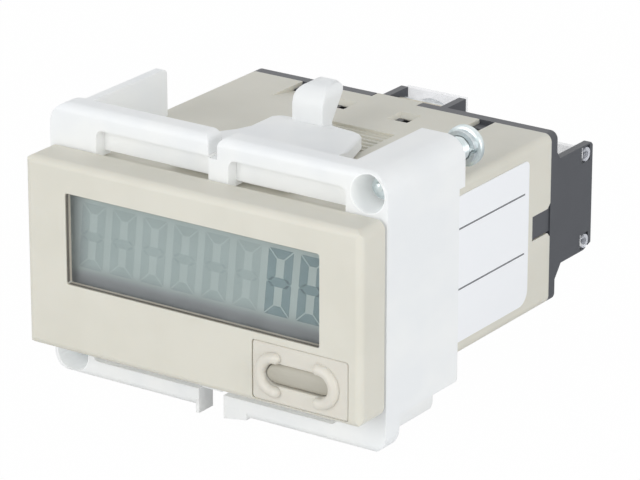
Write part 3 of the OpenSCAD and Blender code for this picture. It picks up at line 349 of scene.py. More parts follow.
@dataclass(frozen=True)
class Moulding(Recipe):
    """A matt moulded plastic with a fine spark-eroded grain."""

    color: str
    shade: str
    roughness: float = 0.5
    grain_mm: float = 0.16
    grain_depth_mm: float = 0.006
    grain_share: float = 0.12
    cloud_mm: float = 9.0
    cloud_edges: Pair = (0.35, 0.68)
    cloud_share: float = 0.5
    glow: float = 0.0
    glow_mm: float = 0.6
    glow_tint: Triple = (1.0, 0.85, 0.7)

    def sockets(self, graph: Graph) -> dict:
        """Slow clouds of tone, a fine grain and a little light inside.

        Args:
            graph: The material's node tree.

        Returns:
            What feeds the shader, by socket.
        """
        clouds = graph.clouds(self.cloud_mm, self.cloud_edges)
        grain = graph.noise(self.grain_mm)
        tone = clouds * self.cloud_share + grain * self.grain_share
        return {
            "Base Color": graph.blend(tone, self.color, self.shade),
            "Roughness": grain.around(self.roughness, self.grain_share),
            "Normal": graph.bump(grain, self.grain_depth_mm),
            "Subsurface Weight": self.glow,
            "Subsurface Radius": self.glow_tint,
            "Subsurface Scale": self.glow_mm * MM,
        }


@dataclass(frozen=True)
class NaturalNylon(Recipe):
    """Unpigmented milky nylon: some real translucency and a painted glow, brighter in the screw
    holes.
    """

    color: str = "#eaebea"
    shade: str = "#e4e6e7"
    roughness: float = 0.42
    cloud_mm: float = 7.0
    cloud_edges: Pair = (0.3, 0.7)
    cloud_stretch: Triple = (1.0, 1.6, 1.0)
    ripple_mm: float = 0.9
    ripple_depth_mm: float = 0.012
    ripple_roughness: float = 0.14
    glow: float = 0.35
    glow_mm: float = 1.2
    # painted glow: an emission all over the nylon, and a stronger one in the screw holes
    painted_glow: float = 0.1
    painted_glow_tint: Triple = (1.0, 1.0, 0.99)
    hole_painted_glow: float = 0.17
    hole_r_mm: float = 2.42

    def hole(self, graph: Graph, side: str) -> Signal:
        """Marks one screw hole along its whole depth.

        Args:
            graph: The material's node tree.
            side: The hole's side, upper or lower.

        Returns:
            1 in the hole, else 0.
        """
        across, _, up = graph.axes()
        at = centre("clamp_screw_" + side) * MM
        wide, high = across - at.x, up - at.z
        return (wide * wide + high * high).below((self.hole_r_mm * MM) ** 2)

    def sockets(self, graph: Graph) -> dict:
        """Faint flow clouds, a smooth waxy skin, and a painted glow that lights the screw holes.

        Args:
            graph: The material's node tree.

        Returns:
            What feeds the shader, by socket.
        """
        # painted glow: emission that lightens the whole adapter and fills the shaded screw holes
        holes = self.hole(graph, "upper").highest(self.hole(graph, "lower"))
        share = self.painted_glow / self.hole_painted_glow
        plain_painted_glow = tuple(share * part for part in self.painted_glow_tint)
        clouds = graph.noise(self.cloud_mm, stretch=self.cloud_stretch).rise(*self.cloud_edges)
        ripple = graph.noise(self.ripple_mm)
        return {
            "Base Color": graph.blend(clouds, self.color, self.shade),
            "Roughness": ripple.around(self.roughness, self.ripple_roughness),
            "Normal": graph.bump(ripple, self.ripple_depth_mm),
            "Subsurface Weight": self.glow,
            "Subsurface Radius": (1.0, 1.0, 1.0),
            "Subsurface Scale": self.glow_mm * MM,
            "Emission Color": graph.blend(holes, plain_painted_glow, self.painted_glow_tint),
            "Emission Strength": self.hole_painted_glow,
        }


@dataclass(frozen=True)
class CoverSheet(Recipe):
    """The cover's cloudy plastic, which shows what lies behind it."""

    color: str = "#f3f5fc"
    haze_color: Triple = (0.86, 0.88, 0.9)
    haze_share: float = 0.5
    haze_mm: float = 3.0
    haze_edges: Pair = (0.35, 0.75)
    haze_alpha: float = 0.08
    haze_roughness: float = 0.08
    alpha: float = 0.22
    roughness: float = 0.16
    sheet_mm: float = 0.8
    skin_mm: float = 0.024
    hole_clear: float = 0.8
    pin_mm: float = 0.6
    pin_alpha: float = 0.38

    def sockets(self, graph: Graph) -> dict:
        """A faint haze, clear in the walls of the holes and dense in the pins.

        Args:
            graph: The material's node tree.

        Returns:
            What feeds the shader, by socket.
        """
        low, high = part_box("terminal_cover")
        haze = graph.clouds(self.haze_mm, self.haze_edges)
        across, along, _ = graph.axes()
        middle = low[1] + self.sheet_mm * MM / 2
        inside = abs(along - middle).below((self.sheet_mm / 2 - self.skin_mm) * MM)
        pins = abs(across).above(high[0] - self.pin_mm * MM)
        alpha = (haze * self.haze_alpha + self.alpha) * (1 - inside * self.hole_clear)
        return {
            "Base Color": graph.blend(haze * self.haze_share, self.color, self.haze_color),
            "Roughness": haze * self.haze_roughness + self.roughness,
            "Alpha": alpha + pins * self.pin_alpha,
        }


@dataclass(frozen=True)
class WindowPane(Recipe):
    """The clear window; its side walls have painted shade in tan and a painted gap shadow in
    front.
    """

    color: str = "#dfe6e6"
    # painted shade: a shaded tan for the opening's walls, and a dark painted shadow for the gap
    # at the front
    shaded_wall: str = "#c9bfae"
    gap_shadow: str = "#6a6156"
    alpha: float = 0.05
    roughness: float = 0.04
    wall_roughness: float = 0.4
    haze_mm: float = 3.0
    haze_edges: Pair = (0.35, 0.75)
    haze_alpha: float = 0.04
    haze_roughness: float = 0.05
    flange_mm: float = 0.66
    flange_t_mm: float = 0.8
    line_mm: float = 0.42
    skin_mm: float = 0.03

    def sockets(self, graph: Graph) -> dict:
        """Clear in front of the display, opaque on the walls round it, which carry painted shade.

        Args:
            graph: The material's node tree.

        Returns:
            What feeds the shader, by socket.
        """
        low, high = box_mm("window_lens")
        middle, half = (low + high) / 2, (high - low) / 2
        rim = self.flange_mm + self.skin_mm
        across, along, up = graph.axes()
        side = abs(across - middle.x * MM).above((half.x - rim) * MM)
        level = abs(up - middle.z * MM).above((half.z - rim) * MM)
        before = along.below((high.y - self.flange_t_mm - self.skin_mm) * MM)
        # painted shade over the side walls, and a painted shadow line along their front
        shaded_wall = side.highest(level) * before
        gap_shadow = along.below((low.y + self.line_mm) * MM)
        edge = graph.blend(gap_shadow, self.shaded_wall, self.gap_shadow)
        haze = graph.clouds(self.haze_mm, self.haze_edges)
        polish = haze * self.haze_roughness + self.roughness
        return {
            "Base Color": graph.blend(shaded_wall, self.color, edge),
            "Roughness": shaded_wall * self.wall_roughness + polish,
            "Alpha": shaded_wall.highest(haze * self.haze_alpha + self.alpha),
        }


@dataclass(frozen=True)
class DisplayGlass(Recipe):
    """The grey-green reflector of the display, with painted shade where the bezel shades its
    edges.
    """

    color: str = "#adb9b6"
    shade: str = "#9fadaa"
    # painted shade: the colour of the panel's left and lower edges where the bezel shades them
    bezel_shade: str = "#85888a"
    left_mm: float = -17.7
    bottom_mm: float = -2.86
    fade_mm: float = 2.4
    left_share: float = 0.5
    cloud_mm: float = 8.0
    cloud_share: float = 0.3
    grain_mm: float = 0.12
    grain_share: float = 0.15
    grain_roughness: float = 0.1
    roughness: float = 0.4

    def sockets(self, graph: Graph) -> dict:
        """Painted shade at the left and below, under the bezel, and a fine paper-like grain.

        Args:
            graph: The material's node tree.

        Returns:
            What feeds the shader, by socket.
        """
        across, _, up = graph.axes()
        # left and bottom fade the painted shade of the bezel in from the panel's edges
        left_end, bottom_end = self.left_mm + self.fade_mm, self.bottom_mm + self.fade_mm
        left = across.rise(self.left_mm * MM, left_end * MM, self.left_share, 0.0)
        bottom = up.rise(self.bottom_mm * MM, bottom_end * MM, 1.0, 0.0)
        grain = graph.noise(self.grain_mm)
        tone = graph.noise(self.cloud_mm) * self.cloud_share + grain * self.grain_share
        plain = graph.blend(tone, self.color, self.shade)
        return {
            "Base Color": graph.blend(left.highest(bottom), plain, self.bezel_shade),
            "Roughness": grain.around(self.roughness, self.grain_roughness),
        }


@dataclass(frozen=True)
class SegmentFilm(Recipe):
    """The liquid crystal of the segments, seen as a tint over the reflector."""

    color: str
    alpha: float
    far_color: str = "#7f9a9f"
    roughness: float = 0.4
    patch_mm: float = 1.4
    patch_share: float = 0.3

    def sockets(self, graph: Graph) -> dict:
        """A tint with a slight unevenness.

        Args:
            graph: The material's node tree.

        Returns:
            What feeds the shader, by socket.
        """
        patches = graph.noise(self.patch_mm)
        return {
            "Base Color": graph.blend(patches, self.color, self.far_color),
            "Roughness": self.roughness,
            "Alpha": patches.around(self.alpha, self.patch_share * self.alpha),
        }


@dataclass(frozen=True)
class PlatedSteel(Recipe):
    """Zinc, tin or nickel plate with fine turning marks along one axis."""

    color: str
    tarnish: str
    roughness: float = 0.24
    cloud_mm: float = 1.1
    cloud_edges: Pair = (0.35, 0.7)
    cloud_roughness: float = 0.12
    mark_mm: float = 0.08
    mark_depth_mm: float = 0.003
    mark_roughness: float = 0.08
    marks_along: Triple = (1.0, 1.0, 1.0)

    def sockets(self, graph: Graph) -> dict:
        """A metal with a cloudy tone and uneven gloss.

        Args:
            graph: The material's node tree.

        Returns:
            What feeds the shader, by socket.
        """
        clouds = graph.clouds(self.cloud_mm, self.cloud_edges)
        marks = graph.noise(self.mark_mm, stretch=self.marks_along)
        dull = clouds.around(self.roughness, self.cloud_roughness)
        return {
            "Base Color": graph.blend(clouds, self.color, self.tarnish),
            "Metallic": 1.0,
            "Roughness": dull + marks * self.mark_roughness,
            "Normal": graph.bump(marks, self.mark_depth_mm),
        }


@dataclass(frozen=True)
class LabelFilm(Recipe):
    """A white film label with plain printed rules across it."""

    paper: str = "#fafbfd"
    shade: str = "#f4f6f9"
    ink: str = "#4a4c50"
    ink_share: float = 0.9
    rules_mm: tuple[float, ...] = (5.1, -2.5)
    rule_mm: float = 0.22
    rule_end_mm: float = 33.0
    roughness: float = 0.4
    peel_mm: float = 0.5
    peel_depth_mm: float = 0.004
    peel_roughness: float = 0.08
    peel_share: float = 0.3

    def sockets(self, graph: Graph) -> dict:
        """A film with its rules and a faint orange-peel gloss.

        Args:
            graph: The material's node tree.

        Returns:
            What feeds the shader, by socket.
        """
        _, along, up = graph.axes()
        half = self.rule_mm * MM / 2
        lines = [abs(up - height * MM).below(half) for height in self.rules_mm]
        rules = reduce(Signal.highest, lines) * along.below(self.rule_end_mm * MM)
        peel = graph.noise(self.peel_mm)
        paper = graph.blend(peel * self.peel_share, self.paper, self.shade)
        return {
            "Base Color": graph.blend(rules * self.ink_share, paper, self.ink),
            "Roughness": peel.around(self.roughness, self.peel_roughness),
            "Normal": graph.bump(peel, self.peel_depth_mm),
        }


@dataclass(frozen=True)
class Laminate(Recipe):
    """A circuit board: solder resist over traces and a woven core."""

    resist: str = "#2c5f43"
    copper: str = "#3f7d57"
    trace_mm: float = 1.27
    trace_depth_mm: float = 0.03
    trace_share: float = 0.8
    patch_mm: float = 5.0
    patch_edge: float = 0.52
    slants: Pair = (0.35, 0.4)
    edges: Pair = (0.55, 0.6)
    weave_mm: float = 0.3
    weave_share: float = 0.1
    roughness: float = 0.35

    def sockets(self, graph: Graph) -> dict:
        """Raised traces that run in two directions, by patches.

        Args:
            graph: The material's node tree.

        Returns:
            What feeds the shader, by socket.
        """
        across, along, up = graph.axes()
        turn = 2 * math.pi / (self.trace_mm * MM)
        patch = graph.noise(self.patch_mm, 1.0).above(self.patch_edge)
        first, second = (
            ((axis + up * slant) * turn).sine().above(edge)
            for axis, slant, edge in zip((across, along), self.slants, self.edges)
        )
        traces = first * patch + second * (1 - patch)
        weave = graph.noise(self.weave_mm, 1.0)
        tone = traces * self.trace_share + weave * self.weave_share
        return {
            "Base Color": graph.blend(tone, self.resist, self.copper),
            "Roughness": weave.around(self.roughness, self.weave_share),
            "Normal": graph.bump(traces, self.trace_depth_mm),
        }


@dataclass(frozen=True)
class StripedRubber(Recipe):
    """An elastomer contact strip of fine conducting and insulating layers."""

    dark: str = "#242427"
    light: str = "#8d8a86"
    layer_mm: float = 0.2
    layer_roughness: float = 0.1
    roughness: float = 0.65

    def sockets(self, graph: Graph) -> dict:
        """Layers across the strip's length.

        Args:
            graph: The material's node tree.

        Returns:
            What feeds the shader, by socket.
        """
        across, _, _ = graph.axes()
        layers = (across * (2 * math.pi / (self.layer_mm * MM))).sine().above(0.0)
        return {
            "Base Color": graph.blend(layers, self.dark, self.light),
            "Roughness": layers.around(self.roughness, self.layer_roughness),
        }


class Finish(Enum):
    """Every finish on the meter, by the record's material slot."""

    CASE = ("case_plastic", Moulding("#e0ddd1", "#d8d5c8", roughness=0.46, glow=0.25))
    PLATE = ("plate_plastic", Moulding("#e0dcd1", "#d9d4ca", roughness=0.44, glow=0.25))
    BUTTON = ("button_plastic", Moulding("#bbb7aa", "#aeaa9e", roughness=0.42))
    WINDOW = ("window_plastic", WindowPane())
    DISPLAY = ("display_glass", DisplayGlass())
    FRAME = ("frame_plastic", Moulding("#bdbcb6", "#b3b2ac"))
    CONTACTS = ("contact_rubber", StripedRubber())
    BOARD = ("board_laminate", Laminate())
    SWITCH = ("switch_plastic", Moulding("#2b2b2f", "#222226", roughness=0.4))
    CHIP = ("chip_resin", Moulding("#242427", "#1c1c1f", roughness=0.5))
    CRYSTAL = ("crystal_can", PlatedSteel("#c3c5c9", "#aeb1b6"))
    CAPACITOR = ("capacitor_ceramic", Moulding("#a98f6c", "#98805f", roughness=0.4))
    RESISTOR = ("resistor_film", Moulding("#232327", "#2c2c31", roughness=0.35))
    HEADER = ("header_plastic", Moulding("#28282b", "#1f1f22", roughness=0.5))
    CELL = ("cell_steel", PlatedSteel("#c9cac6", "#b5b6b3", marks_along=(14.0, 1.0, 1.0)))
    TAB = ("tab_nickel", PlatedSteel("#c6c3b8", "#b1aea3"))
    KNOB = ("knob_plastic", Moulding("#2c2c30", "#232326", roughness=0.36))
    BASE = ("base_plastic", Moulding("#4e5055", "#46484d", roughness=0.4, grain_depth_mm=0.004))
    TERMINAL = ("terminal_metal", PlatedSteel("#cbc6b6", "#b5af9e", roughness=0.3))
    SCREW = ("screw_zinc", PlatedSteel("#d3d6d8", "#bcc0c2", roughness=0.22))
    COVER = ("cover_plastic", CoverSheet())
    LABEL = ("label_film", LabelFilm())
    ADAPTER = ("adapter_plastic", NaturalNylon())
    CLAMP = ("clamp_zinc", PlatedSteel("#e3ebec", "#cfd9da", roughness=0.36))
    SPRING = ("spring_steel", PlatedSteel("#dde2e4", "#c9cfd2", roughness=0.4))

    def __init__(self, slot: str, recipe: Recipe) -> None:
        """Keeps the record's slot name and the recipe of the finish."""
        self.slot = slot
        self.recipe = recipe

    def material(self) -> bpy.types.Material:
        """The finish's material, made on its first use."""
        found = bpy.data.materials.get(self.slot + "_finish")
        return found or self.recipe.material(self.slot + "_finish")


def dress(piece: bpy.types.Object, material: bpy.types.Material) -> None:
    """Gives a piece one material all over."""
    piece.data.materials.clear()
    piece.data.materials.append(material)


def dress_nodes(frame: dict, finishes: dict[str, Finish]) -> None:
    """Gives each named node its finish.

    Args:
        frame: The loaded frame.
        finishes: The finish of each node, by its name.
    """
    for node, finish in finishes.items():
        dress(frame["nodes"][node], finish.material())
        LOG.info("%s: %s", node, finish.slot)


def seated(name: str, mesh: bmesh.types.BMesh, body: str, finish: Finish,
           smooth_degrees: float = 35.0) -> bpy.types.Object:
    """Makes a finished piece of a bmesh and lets it ride on its body.

    Args:
        name: The piece's name.
        mesh: Its shape, in place; it is freed.
        body: The body that it moves with.
        finish: Its finish and slot.
        smooth_degrees: Faces that meet at less than this are shaded as one.

    Returns:
        The piece.
    """
    data = bpy.data.meshes.new(name)
    mesh.to_mesh(data)
    mesh.free()
    for face in data.polygons:
        face.use_smooth = True
    data.set_sharp_from_angle(angle=math.radians(smooth_degrees))
    piece = bpy.data.objects.new(name, data)
    bpy.context.scene.collection.objects.link(piece)
    dress(piece, finish.material())
    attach(piece, body)
    LOG.info("%s: %d faces, on %s", name, len(data.polygons), body)
    return piece


def softened(frame: dict, node: str, body: str, finish: Finish, edge_mm: float,
             shape: Callable[[bmesh.types.BMesh], None] | None = None) -> bpy.types.Object:
    """Stands in for a node with a copy whose sharp edges are rounded.

    Args:
        frame: The loaded frame.
        node: The node to copy.
        body: The body that it rides on.
        finish: Its finish and slot.
        edge_mm: Radius of the rounding.
        shape: A function that corrects the copy's mesh first, or None.

    Returns:
        The piece that is shown in the node's place.
    """
    mesh = bmesh.new()
    mesh.from_mesh(frame["nodes"][node].data)
    bmesh.ops.remove_doubles(mesh, verts=mesh.verts, dist=MERGE_MM * MM)
    bmesh.ops.dissolve_limit(
        mesh, angle_limit=math.radians(FLAT_DEGREES), verts=mesh.verts, edges=mesh.edges
    )
    if shape is not None:
        shape(mesh)
    piece = seated(node + "_skin", mesh, body, finish)
    edge = piece.modifiers.new("edges", "BEVEL")
    edge.width = edge_mm * MM
    edge.segments = EDGE_STEPS
    edge.limit_method = "ANGLE"
    edge.angle_limit = math.radians(EDGE_DEGREES)
    edge.use_clamp_overlap = True
    flat = piece.modifiers.new("flats", "WEIGHTED_NORMAL")
    flat.keep_sharp = True
    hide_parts(node)
    return piece


def loft(mesh: bmesh.types.BMesh, rings: list[list[Triple]], closed: bool = False) -> None:
    """Bends a grid so that each of its rows lies on a ring, and welds its seam.

    A ring whose points are all the same becomes a pole.

    Args:
        mesh: The mesh to add it to.
        rings: The points of each ring in order, in millimetres.
        closed: Whether the last ring, which repeats the first, is welded to it.
    """
    sides, steps = len(rings[0]), len(rings) - 1
    grid = bmesh.ops.create_grid(mesh, x_segments=sides, y_segments=steps, size=1.0)
    verts = sorted(grid["verts"], key=lambda vert: (vert.co.y, vert.co.x))
    rows = [verts[start:start + sides + 1] for start in range(0, len(verts), sides + 1)]
    targets = {row[-1]: row[0] for row in rows}
    for row, ring in zip(rows, rings):
        for vert, point in zip(row, (*ring, ring[0])):
            vert.co = Vector(point) * MM
        if len(set(ring)) == 1:
            targets.update({vert: row[0] for vert in row[1:]})
    if closed:
        targets.update(zip(rows[-1], (*rows[0][:-1], rows[0][0])))
    bmesh.ops.weld_verts(mesh, targetmap=targets)


@dataclass
class Guard:
    """The small plate round the reset button and the two round-ended arcs on it."""

    front_mm: float = -4.8
    plate_r_mm: float = 0.4
    edge_mm: float = 0.12
    shoulder_mm: float = 0.11
    groove_mm: float = 0.22
    well_w_mm: float = 8.9
    well_h_mm: float = 2.8
    bead_r_mm: float = 0.69
    bead_rise_mm: float = 0.13
    bead_sides: int = 20
    bend_steps: int = 24
    end_steps: int = 9
    opening_mm: float = 4.6
    rays: int = 120
    far_mm: float = 20.0
    halvings: int = 40
    corner_inset_mm: float = 0.1
    corner_step: float = 0.012
    corner_reach: int = 4
    smooth_degrees: float = 40.0
    at: Vector = field(init=False)
    offset: Vector = field(init=False)
    half: Vector = field(init=False)
    back_mm: float = field(init=False)

    def __post_init__(self) -> None:
        """Takes the plate's size and place and the button's place from the frame."""
        low, high = box_mm("reset_plate")
        self.at = centre("reset_button")
        self.offset = (low + high) / 2 - self.at
        self.half = (high - low) / 2
        self.back_mm = high.y

    def from_plate(self, x: float, z: float) -> float:
        """Measures how far a point lies outside the plate's rounded outline.

        Args:
            x: The point's X from the button's centre, in millimetres.
            z: Its Z from there.

        Returns:
            The distance, negative inside.
        """
        r = self.plate_r_mm
        dx = abs(x - self.offset.x) - self.half.x + r
        dz = abs(z - self.offset.z) - self.half.z + r
        return math.hypot(max(dx, 0), max(dz, 0)) + min(max(dx, dz), 0) - r

    def from_well(self, x: float, z: float) -> float:
        """Distance of such a point outside the button's well, negative inside it."""
        run = max(abs(x) - (self.well_w_mm - self.well_h_mm) / 2, 0)
        return math.hypot(run, z) - self.well_h_mm / 2

    def reach(self, distance: Callable[[float, float], float], angle: float,
              level: float) -> Pair:
        """Finds where a ray from the button's centre meets a level of a distance.

        Args:
            distance: The distance from an outline.
            angle: The ray's direction in radians.
            level: The distance that is looked for.

        Returns:
            X and Z from the button's centre, in millimetres.
        """
        low, high = 0.0, self.far_mm
        for _ in range(self.halvings):
            middle = (low + high) / 2
            x, z = middle * math.cos(angle), middle * math.sin(angle)
            low, high = (middle, high) if distance(x, z) < level else (low, middle)
        return low * math.cos(angle), low * math.sin(angle)

    def ray_angles(self) -> list[float]:
        """Spreads the rays that carry the plate's points, denser at its corners.

        Returns:
            The rays' directions in radians, in rising order.
        """
        angles = [2 * math.pi * k / self.rays - math.pi for k in range(self.rays)]
        for sx in (-1, 1):
            for sz in (-1, 1):
                x = self.offset.x + sx * (self.half.x - self.corner_inset_mm)
                z = self.offset.z + sz * (self.half.z - self.corner_inset_mm)
                for k in range(-self.corner_reach, self.corner_reach + 1):
                    angles.append(math.atan2(z, x) + self.corner_step * k)
        return sorted(angles)

    def plate(self, mesh: bmesh.types.BMesh) -> None:
        """Adds the plate with its well, its softened edges and a shoulder in its gap.

        Args:
            mesh: The mesh to add it to.
        """
        edge_y, low_y = self.front_mm + self.edge_mm, self.front_mm + self.groove_mm
        steps = [
            (self.from_well, 0, self.back_mm), (self.from_well, 0, edge_y),
            (self.from_well, self.edge_mm, self.front_mm),
            (self.from_plate, -self.edge_mm, self.front_mm), (self.from_plate, 0, edge_y),
            (self.from_plate, 0, low_y), (self.from_plate, self.shoulder_mm, low_y),
            (self.from_plate, self.shoulder_mm, self.back_mm),
        ]
        angles = self.ray_angles()
        rings = []
        for distance, level, y in steps:
            spots = [self.reach(distance, angle, level) for angle in angles]
            rings.append([(self.at.x + x, y, self.at.z + z) for x, z in spots])
        loft(mesh, [*rings, rings[0]], closed=True)

    def stations(self) -> list[tuple[float, float, float, float]]:
        """Walks along the right-hand arc from its upper tip to its lower one.

        Returns:
            X and Z from the button's centre, the outward direction in radians and the bead's
            radius, for each place.
        """
        r, up = self.bead_r_mm, math.pi / 2
        ring_r = self.well_h_mm / 2 + r
        ring_x = (self.well_w_mm - self.well_h_mm) / 2
        arm_x = self.opening_mm / 2 + r
        swell = [up * k / self.end_steps for k in range(1, self.end_steps)]
        arm = [(arm_x - r * math.cos(a), ring_r, up, r * math.sin(a)) for a in swell]
        arm.append((arm_x, ring_r, up, r))
        turns = [up - math.pi * k / self.bend_steps for k in range(self.bend_steps + 1)]
        bend = [(ring_x + ring_r * math.cos(a), ring_r * math.sin(a), a, r) for a in turns]
        return arm + bend + [(x, -z, -a, radius) for x, z, a, radius in reversed(arm)]

    def arc(self, mesh: bmesh.types.BMesh, side: int) -> None:
        """Adds one arc of the guard: a bead that runs half round the well.

        Args:
            mesh: The mesh to add it to.
            side: 1 for the right-hand arc, -1 for the left-hand one.
        """
        axis_y = self.front_mm - self.bead_rise_mm
        stations = self.stations()
        tip_x = self.at.x + side * self.opening_mm / 2
        first, last = (
            [(tip_x, axis_y, self.at.z + stations[end][1])] * self.bead_sides for end in (0, -1)
        )
        rings = []
        for x, z, turn, radius in stations:
            spots = []
            for step in range(self.bead_sides):
                spin = 2 * math.pi * step / self.bead_sides
                out = radius * math.cos(spin)
                spots.append((
                    self.at.x + side * (x + out * math.cos(turn)),
                    axis_y - radius * math.sin(spin),
                    self.at.z + z + out * math.sin(turn),
                ))
            rings.append(spots)
        loft(mesh, [first, *rings, last])

    def build(self) -> None:
        """Stands in for the plain plate."""
        mesh = bmesh.new()
        self.plate(mesh)
        for side in (-1, 1):
            self.arc(mesh, side)
        bmesh.ops.recalc_face_normals(mesh, faces=mesh.faces)
        piece = seated("reset_guard", mesh, "meter", Finish.PLATE, self.smooth_degrees)
        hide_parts("reset_plate")


@dataclass
class Case:
    """The one-piece bezel and case with its window, label and button plate."""

    frame: dict
    button_edge_mm: float = 0.16

    def build(self) -> None:
        """Dresses the case, its window and its label, and makes the button and its guard."""
        dress_nodes(self.frame, {
            "housing": Finish.CASE,
            "window_lens": Finish.WINDOW,
            "side_label": Finish.LABEL,
            "switch_plunger": Finish.KNOB,
        })
        softened(
            self.frame, "reset_button", "reset_button", Finish.BUTTON, self.button_edge_mm
        )
        Guard().build()


class Stroke(Enum):
    """A figure's seven strokes: a shape, and whether it is flipped sideways and upside down."""

    TOP = ("bar", False, False)
    MIDDLE = ("dash", False, False)
    BOTTOM = ("bar", False, True)
    UPPER_LEFT = ("post", False, False)
    UPPER_RIGHT = ("post", True, False)
    LOWER_LEFT = ("post", False, True)
    LOWER_RIGHT = ("post", True, True)


@dataclass
class Display:
    """The liquid crystal panel and its row of eight seven-stroke figures."""

    frame: dict
    figures: int = 8
    dark_figures: int = 2
    pitch_mm: float = 4.47
    width_mm: float = 3.5
    height_mm: float = 8.3
    stroke_mm: float = 1.2
    gap_mm: float = 0.1
    slant: float = 0.095
    last_left_mm: float = 13.75
    foot_mm: float = -1.4
    film_mm: float = 0.012
    resting: SegmentFilm = SegmentFilm("#84999b", 0.12)
    driven: SegmentFilm = SegmentFilm("#65868f", 0.46)

    def stroke(self, kind: Stroke) -> list[Pair]:
        """Draws one stroke of an upright figure.

        Args:
            kind: Which stroke it is.

        Returns:
            The outline's points from the figure's lower left corner, in millimetres.
        """
        w, h, t, s = self.width_mm, self.height_mm, self.stroke_mm, self.gap_mm
        m = h / 2
        shapes = {
            "bar": [(s, h), (s + t, h - t), (w - s - t, h - t), (w - s, h)],
            "post": [(0, h - s), (0, m + s), (t / 2, m + s), (t, m + t / 2 + s), (t, h - t - s)],
            "dash": [
                (s, m), (s + t / 2, m - t / 2), (w - s - t / 2, m - t / 2),
                (w - s, m), (w - s - t / 2, m + t / 2), (s + t / 2, m + t / 2),
            ],
        }
        shape, sideways, upended = kind.value
        corners = [(w - x if sideways else x, h - z if upended else z) for x, z in shapes[shape]]
        return corners[::-1] if sideways != upended else corners

    def figure_row(self, name: str, first: int, last: int, film: SegmentFilm) -> None:
        """Builds the strokes of a run of figures as one sheet, just clear of the glass.

        Args:
            name: The sheet's name.
            first: Number of its first figure, from 0 at the left.
            last: Number past its last figure.
            film: The tint of its strokes.
        """
        film_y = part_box("lcd_panel")[0].y - self.film_mm * MM
        mesh = bmesh.new()
        for index in range(first, last):
            left = self.last_left_mm - (self.figures - 1 - index) * self.pitch_mm
            for kind in Stroke:
                corners = [
                    mesh.verts.new((
                        (left + x + self.slant * z) * MM, film_y, (self.foot_mm + z) * MM
                    ))
                    for x, z in self.stroke(kind)
                ]
                mesh.faces.new(corners)
        piece = seated(name, mesh, "meter", Finish.DISPLAY)
        dress(piece, film.material(name + "_finish"))

    def build(self) -> None:
        """Dresses the panel and lays the figures on it."""
        dress_nodes(self.frame, {"lcd_panel": Finish.DISPLAY})
        light = self.figures - self.dark_figures
        self.figure_row("resting_figures", 0, light, self.resting)
        self.figure_row("tenth_figures", light, self.figures, self.driven)


@dataclass
class TerminalBlock:
    """The dark base with its terminals and the cloudy cover over them."""

    frame: dict

    def build(self) -> None:
        """Dresses the base, the terminals and the cover."""
        dress_nodes(self.frame, {
            "terminal_base": Finish.BASE,
            "terminal_plates": Finish.TERMINAL,
            "clamp_washers": Finish.SCREW,
            "terminal_screws": Finish.SCREW,
            "terminal_cover": Finish.COVER,
        })


